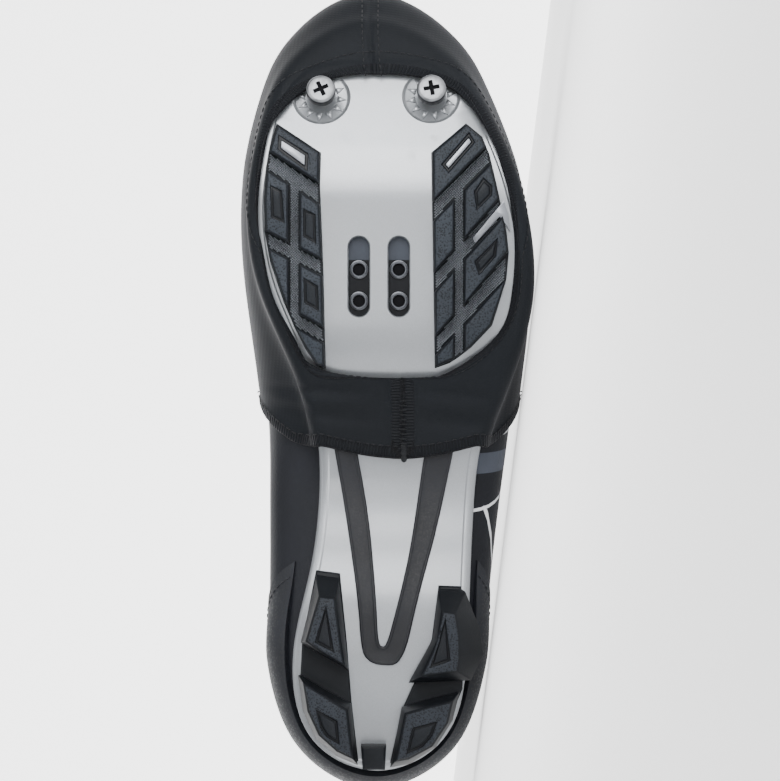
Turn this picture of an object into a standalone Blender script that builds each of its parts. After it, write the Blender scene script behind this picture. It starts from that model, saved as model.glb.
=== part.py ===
# Left mountain-bike shoe that wears a neoprene toe cover, lying on its lateral side.
# The shoe is modelled in its own frame: +X from heel to toe, +Y to the lateral side and
# +Z up from the ground under the lugs. One empty then lays all the pieces on their side.
import math

import bmesh
import bpy
import numpy as np
from mathutils import Matrix, Vector

# Main sizes of the shoe, in metres.
SHOE_LENGTH = 0.282
BALL_WIDTH = 0.098
INSTEP_RISE = 0.085
ARCH_HEIGHT = 0.0205
TOE_SPRING = 0.0185
GAP = 0.0003
SKIN_GAP = 0.0006

# Upper, its heel counter and the insole.
UPPER_WALL = 0.0025
COLLAR_WALL = 0.0085
COLLAR_PAD_DEPTH = 0.024
FEATHER_MARGIN = 0.004
COUNTER_WALL = 0.0014
COUNTER_GAP = 0.0009
INSOLE_THICKNESS = 0.0035
INSOLE_MARGIN = FEATHER_MARGIN + UPPER_WALL + GAP

# Sole plate and the parts that it carries.
PLATE_THICKNESS = 0.0055
PLATE_CHAMFER = 0.0016
SLOT_SPACING = 0.014
SLOT_WIDTH = 0.0073
SLOT_LENGTH = 0.028
SLOT_CENTRE = 0.638
NUT_PLATE_SIZE = (0.036, 0.034, 0.0024)
NUT_HOLE = 0.0042
NUT_BOSS = 0.0058
NUT_BOSS_LENGTH = 0.0016
NUT_PITCH = 0.011
STUD_HEAD = 0.0103
STUD_HEAD_HEIGHT = 0.0042
STUD_SHANK = 0.0050
STUD_HEIGHT = 0.0092
STUD_RECESS = 0.0192
STUD_RECESS_DEPTH = 0.0007
CROSS_LENGTH = 0.0056
CROSS_WIDTH = 0.0012
CROSS_DEPTH = 0.0022
INLAY_THICKNESS = 0.0012

# Tread, forefoot and heel.
TREAD_BASE = 0.0012
LUG_HEIGHT = 0.0050
LUG_CHAMFER = 0.0007
LUG_LEAST_SIDE = 0.0026
WINDOW_DEPTH = 0.0008
HEEL_BASE = 0.0022
HEEL_LUG_HEIGHT = 0.0120
HEEL_LUG_CHAMFER = 0.0010
BUMPER_HEIGHT = 0.0085
BEND_STEP = 0.007

# Toe cover.
COVER_WALL = 0.0020
HEM_STEP = 0.0006
HEM_WIDTH = 0.0085
BAND_CLEARANCE = 0.0018

# Lying pose: the roll and yaw that bring the sole edge and the upper onto the floor.
ROLL = math.radians(1.6)
YAW = math.radians(-7.1)

BALL_FLOOR = GAP + TREAD_BASE + LUG_HEIGHT
HEEL_FLOOR = GAP + HEEL_LUG_HEIGHT
UPPER_FLOOR = BALL_FLOOR + PLATE_THICKNESS

# Underside of the sole plate: place along the shoe as a share of its length, and height.
UNDERSIDE = (
    (0.000, HEEL_FLOOR + 0.10 * ARCH_HEIGHT),
    (0.050, HEEL_FLOOR + 0.02 * ARCH_HEIGHT),
    (0.110, HEEL_FLOOR),
    (0.210, HEEL_FLOOR + 0.04 * ARCH_HEIGHT),
    (0.300, 0.85 * ARCH_HEIGHT),
    (0.385, ARCH_HEIGHT),
    (0.455, 0.85 * ARCH_HEIGHT),
    (0.515, 0.53 * ARCH_HEIGHT),
    (0.560, BALL_FLOOR + 0.02 * ARCH_HEIGHT),
    (0.590, BALL_FLOOR),
    (0.730, BALL_FLOOR),
    (0.790, BALL_FLOOR + 0.10 * TOE_SPRING),
    (0.860, BALL_FLOOR + 0.36 * TOE_SPRING),
    (0.920, BALL_FLOOR + 0.66 * TOE_SPRING),
    (1.000, BALL_FLOOR + TOE_SPRING),
)

# The last, one row for each pair of profiles from the back of the heel to the tip of the
# toe. X is a share of the shoe's length, the widths are shares of the ball width and the
# heights are shares of the instep rise above the sole plate. "sole" is the plate's edge,
# "waist" the widest line of the upper and "top" the collar, or the ridge in front of it.
# "lean" is the angle in degrees at which a profile ends at its top.
LAST_COLUMNS = ("sole_x", "sole_in", "sole_out",
                "waist_x", "waist_in", "waist_out", "waist_z",
                "top_x", "top_in", "top_out", "top_z", "lean")
LAST_ROWS = (
    (0.021, -0.005, -0.005, 0.000, -0.015, -0.015, 0.260, 0.021, -0.010, -0.010, 0.894, 90),
    (0.046, -0.199, 0.189, 0.032, -0.228, 0.208, 0.240, 0.043, -0.161, 0.145, 0.865, 90),
    (0.103, -0.296, 0.292, 0.092, -0.342, 0.322, 0.225, 0.096, -0.258, 0.245, 0.776, 86),
    (0.184, -0.304, 0.320, 0.177, -0.393, 0.380, 0.225, 0.177, -0.301, 0.299, 0.688, 78),
    (0.273, -0.248, 0.331, 0.273, -0.399, 0.412, 0.270, 0.270, -0.301, 0.316, 0.706, 68),
    (0.362, -0.217, 0.345, 0.365, -0.401, 0.445, 0.330, 0.358, -0.245, 0.281, 0.847, 48),
    (0.443, -0.224, 0.380, 0.450, -0.405, 0.478, 0.350, 0.422, 0.026, 0.026, 1.000, 0),
    (0.525, -0.286, 0.466, 0.539, -0.432, 0.508, 0.320, 0.507, 0.026, 0.026, 0.871, 0),
    (0.617, -0.398, 0.528, 0.628, -0.465, 0.530, 0.275, 0.596, 0.020, 0.020, 0.729, 0),
    (0.706, -0.447, 0.513, 0.716, -0.479, 0.516, 0.250, 0.684, 0.010, 0.010, 0.618, 0),
    (0.787, -0.429, 0.450, 0.801, -0.459, 0.461, 0.240, 0.766, -0.005, -0.005, 0.535, 0),
    (0.862, -0.378, 0.353, 0.879, -0.408, 0.380, 0.250, 0.837, -0.020, -0.020, 0.476, 0),
    (0.922, -0.270, 0.224, 0.950, -0.301, 0.255, 0.270, 0.894, -0.031, -0.031, 0.435, 0),
    (0.959, -0.033, -0.033, 1.000, -0.031, -0.031, 0.282, 0.936, -0.033, -0.033, 0.400, 0),
)
THROAT_ROW = 6
SPINE_FIRST, SPINE_LAST = 2, 11
TOE_ROW = len(LAST_ROWS) - 1
LOOP_ROWS = 2 * TOE_ROW
ROUNDNESS = 1.66

# Front edge of the heel counter: height on the last, and how many rows forward it reaches.
COUNTER_FRONT = ((1 / 3, 4.10), (2 / 3, 3.85), (1, 3.45), (1.2, 3.05), (1.4, 2.55), (1.6, 1.95))

# Edge of the toe cover's opening under the forefoot, from the middle of its rear edge to
# the middle of its front edge: place along the shoe, medial and lateral edge, and the row
# of the last whose profile ends there.
OPENING = (
    (0.512, 0.020, 0.020, 6.85),
    (0.512, -0.110, 0.135, 7.05),
    (0.517, -0.232, 0.270, 7.35),
    (0.560, -0.314, 0.436, 7.85),
    (0.610, -0.386, 0.490, 8.30),
    (0.668, -0.424, 0.502, 8.80),
    (0.725, -0.438, 0.474, 9.35),
    (0.779, -0.424, 0.436, 9.95),
    (0.828, -0.384, 0.374, 10.60),
    (0.870, -0.268, 0.272, 11.40),
    (0.889, -0.132, 0.120, 12.20),
    (0.892, -0.020, -0.020, 13.00),
)
COVER_REAR_ROW = 6.36
BAND_REAR_ROW = 5.80
BAND_REAR = 0.412
BAND_MIDDLE = 0.020

# Forefoot tread: pad outlines and the channels that part its lugs, as shares of the shoe's
# length and ball width. A channel is a line through two points with a width in metres.
MEDIAL_PAD = ((0.829, -0.366), (0.792, -0.207), (0.750, -0.210), (0.649, -0.198), (0.524, -0.190),
              (0.527, -0.222), (0.548, -0.262), (0.577, -0.304), (0.605, -0.338), (0.656, -0.388),
              (0.694, -0.408), (0.733, -0.410), (0.772, -0.402), (0.796, -0.392))
MEDIAL_CHANNELS = (((0.784, -0.407), (0.738, -0.207), 0.0050),
                   ((0.685, -0.411), (0.648, -0.200), 0.0042),
                   ((0.590, -0.330), (0.563, -0.187), 0.0040))
MEDIAL_SPLIT = (-0.302, 0.0030)
LATERAL_PAD = ((0.792, 0.187), (0.829, 0.312), (0.812, 0.370), (0.789, 0.396), (0.753, 0.420),
               (0.733, 0.432), (0.693, 0.456), (0.668, 0.464), (0.634, 0.455), (0.577, 0.404),
               (0.550, 0.330), (0.537, 0.282), (0.530, 0.250), (0.524, 0.200))
LATERAL_CHANNELS = (((0.719, 0.196), (0.789, 0.393), 0.0042),
                    ((0.634, 0.207), (0.725, 0.443), 0.0040),
                    ((0.554, 0.207), (0.651, 0.466), 0.0040))
LATERAL_SPLIT = (0.286, 0.0027)

# Heel tread: the thin base of each side, and each lug's outline at the plate, at its
# widest and at the ground.
HEEL_MEDIAL_BASE = ((0.272, -0.226), (0.268, -0.140), (0.187, -0.116), (0.109, -0.098),
                    (0.034, -0.074), (0.046, -0.150), (0.066, -0.218), (0.098, -0.262),
                    (0.137, -0.282), (0.180, -0.276), (0.230, -0.250))
HEEL_MEDIAL_LUGS = (
    (((0.270, -0.222), (0.266, -0.144), (0.187, -0.120), (0.150, -0.108), (0.166, -0.190), (0.184, -0.272)),
     ((0.262, -0.226), (0.258, -0.144), (0.187, -0.120), (0.149, -0.108), (0.165, -0.193), (0.183, -0.280)),
     ((0.243, -0.214), (0.241, -0.154), (0.187, -0.134), (0.155, -0.120), (0.169, -0.192), (0.186, -0.262))),
    (((0.142, -0.272), (0.124, -0.190), (0.107, -0.102), (0.036, -0.078), (0.046, -0.146), (0.066, -0.212),
      (0.098, -0.256)),
     ((0.143, -0.290), (0.124, -0.192), (0.107, -0.098), (0.030, -0.076), (0.042, -0.154), (0.064, -0.228),
      (0.098, -0.272)),
     ((0.136, -0.270), (0.119, -0.188), (0.102, -0.110), (0.040, -0.090), (0.050, -0.150), (0.070, -0.214),
      (0.100, -0.254))),
)
HEEL_LATERAL_BASE = ((0.253, 0.214), (0.252, 0.296), (0.187, 0.304), (0.125, 0.300), (0.090, 0.258),
                     (0.056, 0.200), (0.034, 0.112), (0.032, 0.040), (0.100, 0.084), (0.150, 0.150),
                     (0.187, 0.190))
HEEL_LATERAL_LUGS = (
    (((0.251, 0.218), (0.250, 0.292), (0.200, 0.300), (0.168, 0.303), (0.137, 0.300), (0.134, 0.112),
      (0.187, 0.196)),
     ((0.247, 0.212), (0.246, 0.310), (0.200, 0.362), (0.168, 0.374), (0.136, 0.330), (0.133, 0.106),
      (0.187, 0.192)),
     ((0.225, 0.222), (0.222, 0.276), (0.196, 0.290), (0.168, 0.292), (0.148, 0.284), (0.142, 0.146),
      (0.187, 0.206))),
    (((0.102, 0.086), (0.112, 0.180), (0.120, 0.278), (0.088, 0.250), (0.056, 0.192), (0.036, 0.108),
      (0.034, 0.046)),
     ((0.103, 0.082), (0.113, 0.180), (0.122, 0.290), (0.086, 0.264), (0.053, 0.204), (0.032, 0.112),
      (0.027, 0.040)),
     ((0.098, 0.092), (0.107, 0.180), (0.114, 0.266), (0.085, 0.246), (0.056, 0.190), (0.040, 0.106),
      (0.037, 0.056))),
)
BUMPER = ((0.056, -0.064), (0.056, 0.026), (0.026, 0.022), (0.026, -0.058))

# Wishbone inlay under the arch, as a closed outline.
WISHBONE = ((0.456, -0.178), (0.347, -0.122), (0.238, -0.077), (0.168, -0.062), (0.155, -0.021),
            (0.153, 0.062), (0.174, 0.099), (0.238, 0.141), (0.327, 0.212), (0.456, 0.290),
            (0.456, 0.180), (0.300, 0.114), (0.238, 0.073), (0.176, 0.026), (0.179, -0.002),
            (0.238, -0.010), (0.340, -0.036), (0.456, -0.098))

# Toe studs: place along and across the shoe, and how far the cross recess is turned.
STUDS = (("toe_stud_medial", 0.862, -0.207, math.radians(25)),
         ("toe_stud_lateral", 0.863, 0.188, math.radians(10)))

COLOURS = {
    "neoprene": ((0.020, 0.023, 0.028), 0.62, 0.0),
    "upper_fabric": ((0.028, 0.031, 0.040), 0.70, 0.0),
    "counter_plastic": ((0.034, 0.038, 0.048), 0.48, 0.0),
    "silver_plate": ((0.56, 0.58, 0.60), 0.32, 0.1),
    "tread_rubber": ((0.042, 0.050, 0.062), 0.60, 0.0),
    "heel_rubber": ((0.036, 0.042, 0.053), 0.60, 0.0),
    "inlay_plastic": ((0.024, 0.028, 0.038), 0.45, 0.0),
    "stud_steel": ((0.52, 0.54, 0.56), 0.28, 1.0),
    "nut_steel": ((0.16, 0.18, 0.21), 0.40, 0.9),
    "insole_foam": ((0.10, 0.11, 0.13), 0.80, 0.0),
}


def clear_scene():
    for item in list(bpy.data.objects):
        bpy.data.objects.remove(item, do_unlink=True)


def material(name):
    colour, roughness, metallic = COLOURS[name]
    made = bpy.data.materials.get(name) or bpy.data.materials.new(name)
    made.use_nodes = True
    shader = made.node_tree.nodes["Principled BSDF"]
    shader.inputs["Base Color"].default_value = (*colour, 1.0)
    shader.inputs["Roughness"].default_value = roughness
    shader.inputs["Metallic"].default_value = metallic
    return made


def add_object(name, shape, finish=None):
    """Puts a bmesh into the scene as one named object."""
    bmesh.ops.recalc_face_normals(shape, faces=shape.faces)
    mesh = bpy.data.meshes.new(name)
    shape.to_mesh(mesh)
    shape.free()
    mesh.shade_smooth()
    mesh.set_sharp_from_angle(angle=math.radians(35))
    made = bpy.data.objects.new(name, mesh)
    bpy.context.scene.collection.objects.link(made)
    if finish:
        mesh.materials.append(material(finish))
    return made


def helper(name, shape):
    made = add_object(name, shape)
    made.hide_render = True
    made.display_type = "WIRE"
    return made


def boolean(target, operation, tool):
    cut = target.modifiers.new(tool.name, "BOOLEAN")
    cut.operation = operation
    cut.solver = "EXACT"
    cut.object = tool


def evaluated_shape(target):
    """The object's mesh with its modifiers applied, as a new bmesh."""
    depsgraph = bpy.context.evaluated_depsgraph_get()
    mesh = bpy.data.meshes.new_from_object(target.evaluated_get(depsgraph))
    shape = bmesh.new()
    shape.from_mesh(mesh)
    bpy.data.meshes.remove(mesh)
    return shape


def bend_curve(second, values, place, count):
    """Value at a place between equally spaced knots, from their second differences."""
    low = int(math.floor(place))
    part = place - low
    first, last = low % count, (low + 1) % count
    line = values[first] + (values[last] - values[first]) * part
    sag = (2 - part) * second[first] + (1 + part) * second[last]
    return line - part * (1 - part) / 6 * sag


def loop_curve(values):
    """Smooth closed curve through equally spaced values."""
    values = np.array(values, dtype=float)
    count = len(values)
    unit = np.eye(count)
    system = 4 * unit + np.roll(unit, 1, axis=0) + np.roll(unit, -1, axis=0)
    bend = 6 * (np.roll(values, 1) - 2 * values + np.roll(values, -1))
    second = np.linalg.solve(system, bend)
    return lambda place: float(bend_curve(second, values, place % count, count))


def open_curve(values):
    """Smooth open curve through equally spaced values, straight at its ends."""
    values = np.array(values, dtype=float)
    count = len(values)
    system = np.eye(count)
    bend = np.zeros(count)
    for i in range(1, count - 1):
        system[i, i - 1:i + 2] = (1, 4, 1)
        bend[i] = 6 * (values[i - 1] - 2 * values[i] + values[i + 1])
    second = np.linalg.solve(system, bend)
    return lambda place: float(bend_curve(second, values, min(max(place, 0), count - 1 - 1e-9), count))


def level_curve(rows):
    """Smooth curve through (place, value) rows that keeps its level stretches level."""
    places = [row[0] for row in rows]
    values = [row[1] for row in rows]
    steps = [(values[i + 1] - values[i]) / (places[i + 1] - places[i]) for i in range(len(rows) - 1)]
    slopes = [steps[0]]
    for before, after in zip(steps, steps[1:]):
        slopes.append(2 * before * after / (before + after) if before * after > 0 else 0.0)
    slopes.append(steps[-1])

    def curve(place):
        place = min(max(place, places[0]), places[-1])
        i = min(int(np.searchsorted(places, place, side="right")) - 1, len(rows) - 2)
        width = places[i + 1] - places[i]
        part = (place - places[i]) / width
        ease = part * part * (3 - 2 * part)
        start = part * (1 - part) ** 2 * width * slopes[i]
        finish = part * part * (1 - part) * width * slopes[i + 1]
        return values[i] + (values[i + 1] - values[i]) * ease + start - finish

    return curve


underside_share = level_curve(UNDERSIDE)


def underside(x):
    """Height of the sole plate's lower face."""
    return underside_share(x / SHOE_LENGTH)


def plate_top(x):
    return underside(x) + PLATE_THICKNESS


def last_column(name, scale):
    place = LAST_COLUMNS.index(name)
    return [row[place] * scale for row in LAST_ROWS]


def round_loop(medial, lateral):
    """Values for the whole loop: medial side to the toe, lateral side back to the heel."""
    return loop_curve(medial + lateral[-2:0:-1])


class Last:
    """The surface of the shoe's upper, from the plate's edge to the collar or the ridge."""

    def __init__(self):
        sole_x = last_column("sole_x", SHOE_LENGTH)
        waist_x = last_column("waist_x", SHOE_LENGTH)
        waist_z = last_column("waist_z", INSTEP_RISE)
        self.sole_x = round_loop(sole_x, sole_x)
        self.sole_y = round_loop(last_column("sole_in", BALL_WIDTH), last_column("sole_out", BALL_WIDTH))
        self.waist_x = round_loop(waist_x, waist_x)
        self.waist_y = round_loop(last_column("waist_in", BALL_WIDTH), last_column("waist_out", BALL_WIDTH))
        self.waist_z = round_loop(waist_z, waist_z)
        top_x = last_column("top_x", SHOE_LENGTH)
        top_in = last_column("top_in", BALL_WIDTH)
        top_out = last_column("top_out", BALL_WIDTH)
        top_z = last_column("top_z", INSTEP_RISE)
        rows = THROAT_ROW + 1
        self.collar = [round_loop(top_x[:rows], top_x[:rows]),
                       round_loop(top_in[:rows], top_out[:rows]),
                       round_loop(top_z[:rows], top_z[:rows])]
        self.ridge = [open_curve(values[THROAT_ROW:]) for values in (top_x, top_in, top_z)]
        self.lean = open_curve(last_column("lean", 1.0))

    def sole(self, t, inset=0.0):
        """Point on the plate's outline, moved inwards by the inset."""
        step = 0.02
        ahead = Vector((self.sole_x(t + step), self.sole_y(t + step)))
        behind = Vector((self.sole_x(t - step), self.sole_y(t - step)))
        along = (ahead - behind).normalized()
        return Vector((self.sole_x(t) - along.y * inset, self.sole_y(t) + along.x * inset))

    def spine(self, t):
        """Middle line of the sole, where the profiles of both sides meet."""
        row = min(max(self.row(t), SPINE_FIRST), SPINE_LAST)
        return Vector((self.sole_x(row), (self.sole_y(row) + self.sole_y(LOOP_ROWS - row)) / 2))

    def row(self, t):
        """How far a profile is from the heel, in rows, on either side."""
        t = t % LOOP_ROWS
        return min(t, LOOP_ROWS - t)

    def top(self, t):
        row = self.row(t)
        if row >= THROAT_ROW:
            x, y, z = (curve(row - THROAT_ROW) for curve in self.ridge)
        else:
            place = row if t % LOOP_ROWS <= TOE_ROW else -row
            x, y, z = (curve(place) for curve in self.collar)
        return Vector((x, y, UPPER_FLOOR + z))

    def ridge_slope(self, t):
        row = min(max(self.row(t), THROAT_ROW) - THROAT_ROW, TOE_ROW - THROAT_ROW - 0.1)
        run = self.ridge[0](row + 0.1) - self.ridge[0](row)
        rise = self.ridge[2](row + 0.1) - self.ridge[2](row)
        return rise / run

    def point(self, t, v):
        """Point of the upper: v is 0 at the plate, 1 at the waist and 2 at the top."""
        waist = Vector((self.waist_x(t), self.waist_y(t), UPPER_FLOOR + self.waist_z(t)))
        if v <= 1:
            edge = self.sole(t, FEATHER_MARGIN)
            start = Vector((edge.x, edge.y, plate_top(edge.x) + SKIN_GAP))
            leave = Vector((waist.x - start.x, waist.y - start.y, 0))
            arrive = Vector((0, 0, waist.z - start.z))
            return hermite(start, leave * ROUNDNESS, waist, arrive * ROUNDNESS, v)
        top = self.top(t)
        across = Vector((top.x - waist.x, top.y - waist.y, 0))
        across.z = across.x * self.ridge_slope(t)
        lean = math.radians(min(max(self.lean(self.row(t)), 0), 90)) if self.row(t) < THROAT_ROW else 0
        rise = Vector((0, 0, top.z - waist.z))
        arrive = across * math.cos(lean) + rise * math.sin(lean) * 0.6
        return hermite(waist, rise * ROUNDNESS, top, arrive * ROUNDNESS, v - 1)

    def normal(self, t, v):
        """Outward direction of the surface."""
        step = 0.01
        low, high = max(v - step, 0), min(v + step, 2)
        around = self.point(t + step, v) - self.point(t - step, v)
        upwards = self.point(t, high) - self.point(t, low)
        return around.cross(upwards).normalized()

    def outside(self, t, v, distance):
        return self.point(t, v) + self.normal(t, v) * distance


def hermite(start, leave, finish, arrive, part):
    square, cube = part * part, part ** 3
    return (start * (2 * cube - 3 * square + 1) + leave * (cube - 2 * square + part)
            + finish * (3 * square - 2 * cube) + arrive * (cube - square))


def spread(first, final, count):
    return [first + (final - first) * i / (count - 1) for i in range(count)]


last = Last()
PROFILE = spread(0, 1, 4) + spread(1, 2, 6)[1:]


def surface(columns, closed):
    """Open surface through columns of (point, inside, crown), welded where columns meet.

    The inside is the wall's depth along the normal, or the inner skin's own point.
    """
    shape = bmesh.new()
    wall = shape.verts.layers.float.new("wall")
    inside = shape.verts.layers.float_vector.new("inside")
    crown = shape.verts.layers.float.new("crown")
    grid = []
    for column in columns:
        line = []
        for point, depth, rise in column:
            vert = shape.verts.new(point)
            if isinstance(depth, Vector):
                vert[inside] = depth
            else:
                vert[wall] = depth
            vert[crown] = rise
            line.append(vert)
        grid.append(line)
    pairs = list(zip(grid, grid[1:] + grid[:1])) if closed else list(zip(grid, grid[1:]))
    for left, right in pairs:
        for j in range(len(left) - 1):
            shape.faces.new((left[j], right[j], right[j + 1], left[j + 1]))
    bmesh.ops.remove_doubles(shape, verts=shape.verts, dist=2e-5)
    bmesh.ops.recalc_face_normals(shape, faces=shape.faces)
    return shape


def thicken(shape):
    """Gives an open surface its wall, with a crowned rim along each edge."""
    wall = shape.verts.layers.float["wall"]
    inside = shape.verts.layers.float_vector["inside"]
    crown = shape.verts.layers.float["crown"]
    shape.normal_update()
    skin = list(shape.faces)
    edges = [edge for edge in shape.edges if edge.is_boundary]
    outer = list(shape.verts)
    inner = {}
    for vert in outer:
        point = vert[inside] if vert[inside].length > 0 else vert.co - vert.normal * vert[wall]
        inner[vert] = shape.verts.new(point)
    middle = {}
    for vert in {vert for edge in edges for vert in edge.verts}:
        if vert[crown] > 0:
            behind = [face.calc_center_median() for face in vert.link_faces]
            away = (vert.co - sum(behind, Vector()) / len(behind)).normalized()
            centre = (vert.co + inner[vert].co) / 2
            middle[vert] = shape.verts.new(centre + away * vert[crown])
    for edge in edges:
        loop = edge.link_loops[0]
        a, b = loop.vert, loop.link_loop_next.vert
        if a in middle and b in middle:
            shape.faces.new((b, a, middle[a], middle[b]))
            shape.faces.new((middle[b], middle[a], inner[a], inner[b]))
        else:
            shape.faces.new((b, a, inner[a], inner[b]))
    for face in skin:
        shape.faces.new([inner[vert] for vert in reversed(face.verts)])
    return shape


def upper():
    """Hollow upper, open at the collar and underneath, with a padded collar."""
    columns = []
    for t in spread(0, LOOP_ROWS, 3 * LOOP_ROWS + 1)[:-1]:
        fade = min(max(THROAT_ROW - 0.3 - last.row(t), 0), 1)
        length = (last.point(t, 2) - last.point(t, 1)).length
        column = []
        for v in PROFILE:
            near = min(max(1 - (2 - v) * length / COLLAR_PAD_DEPTH, 0), 1)
            pad = fade * near * near * (3 - 2 * near)
            depth = UPPER_WALL + (COLLAR_WALL - UPPER_WALL) * pad
            rise = 0.3 * depth if v == PROFILE[-1] else 0.0
            column.append((last.point(t, v), depth, rise))
        columns.append(column)
    return add_object("upper", thicken(surface(columns, closed=True)), "upper_fabric")


def heel_counter():
    """Moulded cup round the back of the upper."""
    columns = []
    for share in spread(-1, 1, 27):
        column = []
        for v, reach in COUNTER_FRONT:
            point = last.outside(share * reach % LOOP_ROWS, v, COUNTER_GAP + COUNTER_WALL)
            column.append((point, COUNTER_WALL, 0.3 * COUNTER_WALL))
        columns.append(column)
    return add_object("heel_counter", thicken(surface(columns, closed=False)), "counter_plastic")


def flat_ring(t, inset, share, height):
    """Point of the sole between its outline and its middle line."""
    edge = last.sole(t, inset)
    place = edge.lerp(last.spine(t), share)
    return Vector((place.x, place.y, height(place.x)))


def sole_slab(name, levels, per_row, finish):
    """Closed slab that follows the sole's outline: levels run from lower to upper middle."""
    columns = []
    for t in spread(0, LOOP_ROWS, per_row * LOOP_ROWS + 1)[:-1]:
        columns.append([(flat_ring(t, inset, share, height), 0, 0) for inset, share, height in levels])
    return add_object(name, surface(columns, closed=True), finish)


def sole_plate():
    """Stiff plate with two cleat slots, a pocket for the nut plate and two stud seats."""
    middle = PLATE_THICKNESS / 2

    def lower_side(x):
        return underside(x) + PLATE_CHAMFER

    def upper_side(x):
        return plate_top(x) - PLATE_CHAMFER / 2

    levels = [(PLATE_CHAMFER, share, underside) for share in (1.0, 0.67, 0.33, 0.0)]
    levels += [(0.0, 0.0, lower_side), (0.0, 0.0, upper_side)]
    levels += [(PLATE_CHAMFER / 2, share, plate_top) for share in (0.0, 0.33, 0.67, 1.0)]
    plate = sole_slab("sole_plate", levels, 3, "silver_plate")
    for side in (-1, 1):
        slot = slot_cutter(side * SLOT_SPACING / 2, middle)
        boolean(plate, "DIFFERENCE", slot)
    boolean(plate, "DIFFERENCE", nut_pocket())
    for name, x_share, y_share, _ in STUDS:
        shape = bmesh.new()
        bmesh.ops.create_cone(shape, cap_ends=True, segments=32, radius1=STUD_RECESS / 2,
                              radius2=STUD_RECESS / 2, depth=4 * STUD_RECESS_DEPTH)
        seat = helper(name + "_seat", shape)
        place_on_underside(seat, x_share, y_share, -STUD_RECESS_DEPTH)
        boolean(plate, "DIFFERENCE", seat)
    return plate


def slot_cutter(y, reach):
    """Stadium-shaped cutter for one cleat slot."""
    x = SLOT_CENTRE * SHOE_LENGTH
    radius = SLOT_WIDTH / 2
    straight = SLOT_LENGTH / 2 - radius
    outline = []
    for end, first in ((1, -90), (-1, 90)):
        for i in range(9):
            angle = math.radians(first + 180 * i / 8)
            outline.append((x + end * straight + radius * math.cos(angle), y + radius * math.sin(angle)))
    low, high = BALL_FLOOR - reach, UPPER_FLOOR + reach
    return helper("slot", stack([(outline, low), (outline, high)]))


def nut_pocket():
    """Pocket in the top of the plate that holds the nut plate."""
    length, width, depth = NUT_PLATE_SIZE
    return helper("nut_pocket", box((SLOT_CENTRE * SHOE_LENGTH, 0), (length + 2 * GAP, width + 2 * GAP),
                                    UPPER_FLOOR - depth - 2 * GAP, UPPER_FLOOR + depth))


def box(centre, size, low, high):
    x, y = centre
    half_x, half_y = size[0] / 2, size[1] / 2
    outline = [(x - half_x, y - half_y), (x + half_x, y - half_y), (x + half_x, y + half_y), (x - half_x, y + half_y)]
    return stack([(outline, low), (outline, high)])


def stack(levels):
    """Closed solid through outlines at rising heights."""
    shape = bmesh.new()
    rings = [[shape.verts.new((x, y, height)) for x, y in outline] for outline, height in levels]
    for low, high in zip(rings, rings[1:]):
        for i in range(len(low)):
            j = (i + 1) % len(low)
            shape.faces.new((low[i], low[j], high[j], high[i]))
    shape.faces.new(rings[0][::-1])
    shape.faces.new(rings[-1])
    bmesh.ops.recalc_face_normals(shape, faces=shape.faces)
    return shape


def cleat_nut_plate():
    """Plate with four threaded bosses that stand in the cleat slots."""
    length, width, depth = NUT_PLATE_SIZE
    x = SLOT_CENTRE * SHOE_LENGTH
    low = UPPER_FLOOR - depth - GAP
    shape = box((x, 0), (length, width), low, low + depth)
    plate = add_object("cleat_nut_plate", shape, "nut_steel")
    for side in (-1, 1):
        for end in (-1, 1):
            centre = Vector((x + end * NUT_PITCH / 2 - 0.003, side * SLOT_SPACING / 2, low - NUT_BOSS_LENGTH / 2))
            for radius, operation, reach in ((NUT_BOSS / 2, "UNION", NUT_BOSS_LENGTH + 0.4 * depth),
                                             (NUT_HOLE / 2, "DIFFERENCE", 6 * depth)):
                turned = bmesh.new()
                bmesh.ops.create_cone(turned, cap_ends=True, segments=16, radius1=radius, radius2=radius,
                                      depth=reach)
                lift = 0.2 * depth if operation == "UNION" else 0.0
                bmesh.ops.translate(turned, verts=turned.verts, vec=centre + Vector((0, 0, lift)))
                boolean(plate, operation, helper("nut_" + operation.lower(), turned))
    return plate


def insole():
    """Foam insole on top of the plate."""
    low, high = GAP, GAP + INSOLE_THICKNESS
    levels = [(INSOLE_MARGIN, share, lambda x: plate_top(x) + low) for share in (1.0, 0.5, 0.0)]
    levels += [(INSOLE_MARGIN, share, lambda x: plate_top(x) + high) for share in (0.0, 0.5, 1.0)]
    return sole_slab("insole", levels, 3, "insole_foam")


def place_on_underside(item, x_share, y_share, depth):
    """Sets an object on the plate's lower face, square to it, with its +Z pointing down."""
    x = x_share * SHOE_LENGTH
    step = 0.002
    slope = (underside(x + step) - underside(x - step)) / (2 * step)
    item.rotation_euler = (math.pi, -math.atan(slope), 0)
    item.location = (x, y_share * BALL_WIDTH, underside(x) + depth)


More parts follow.
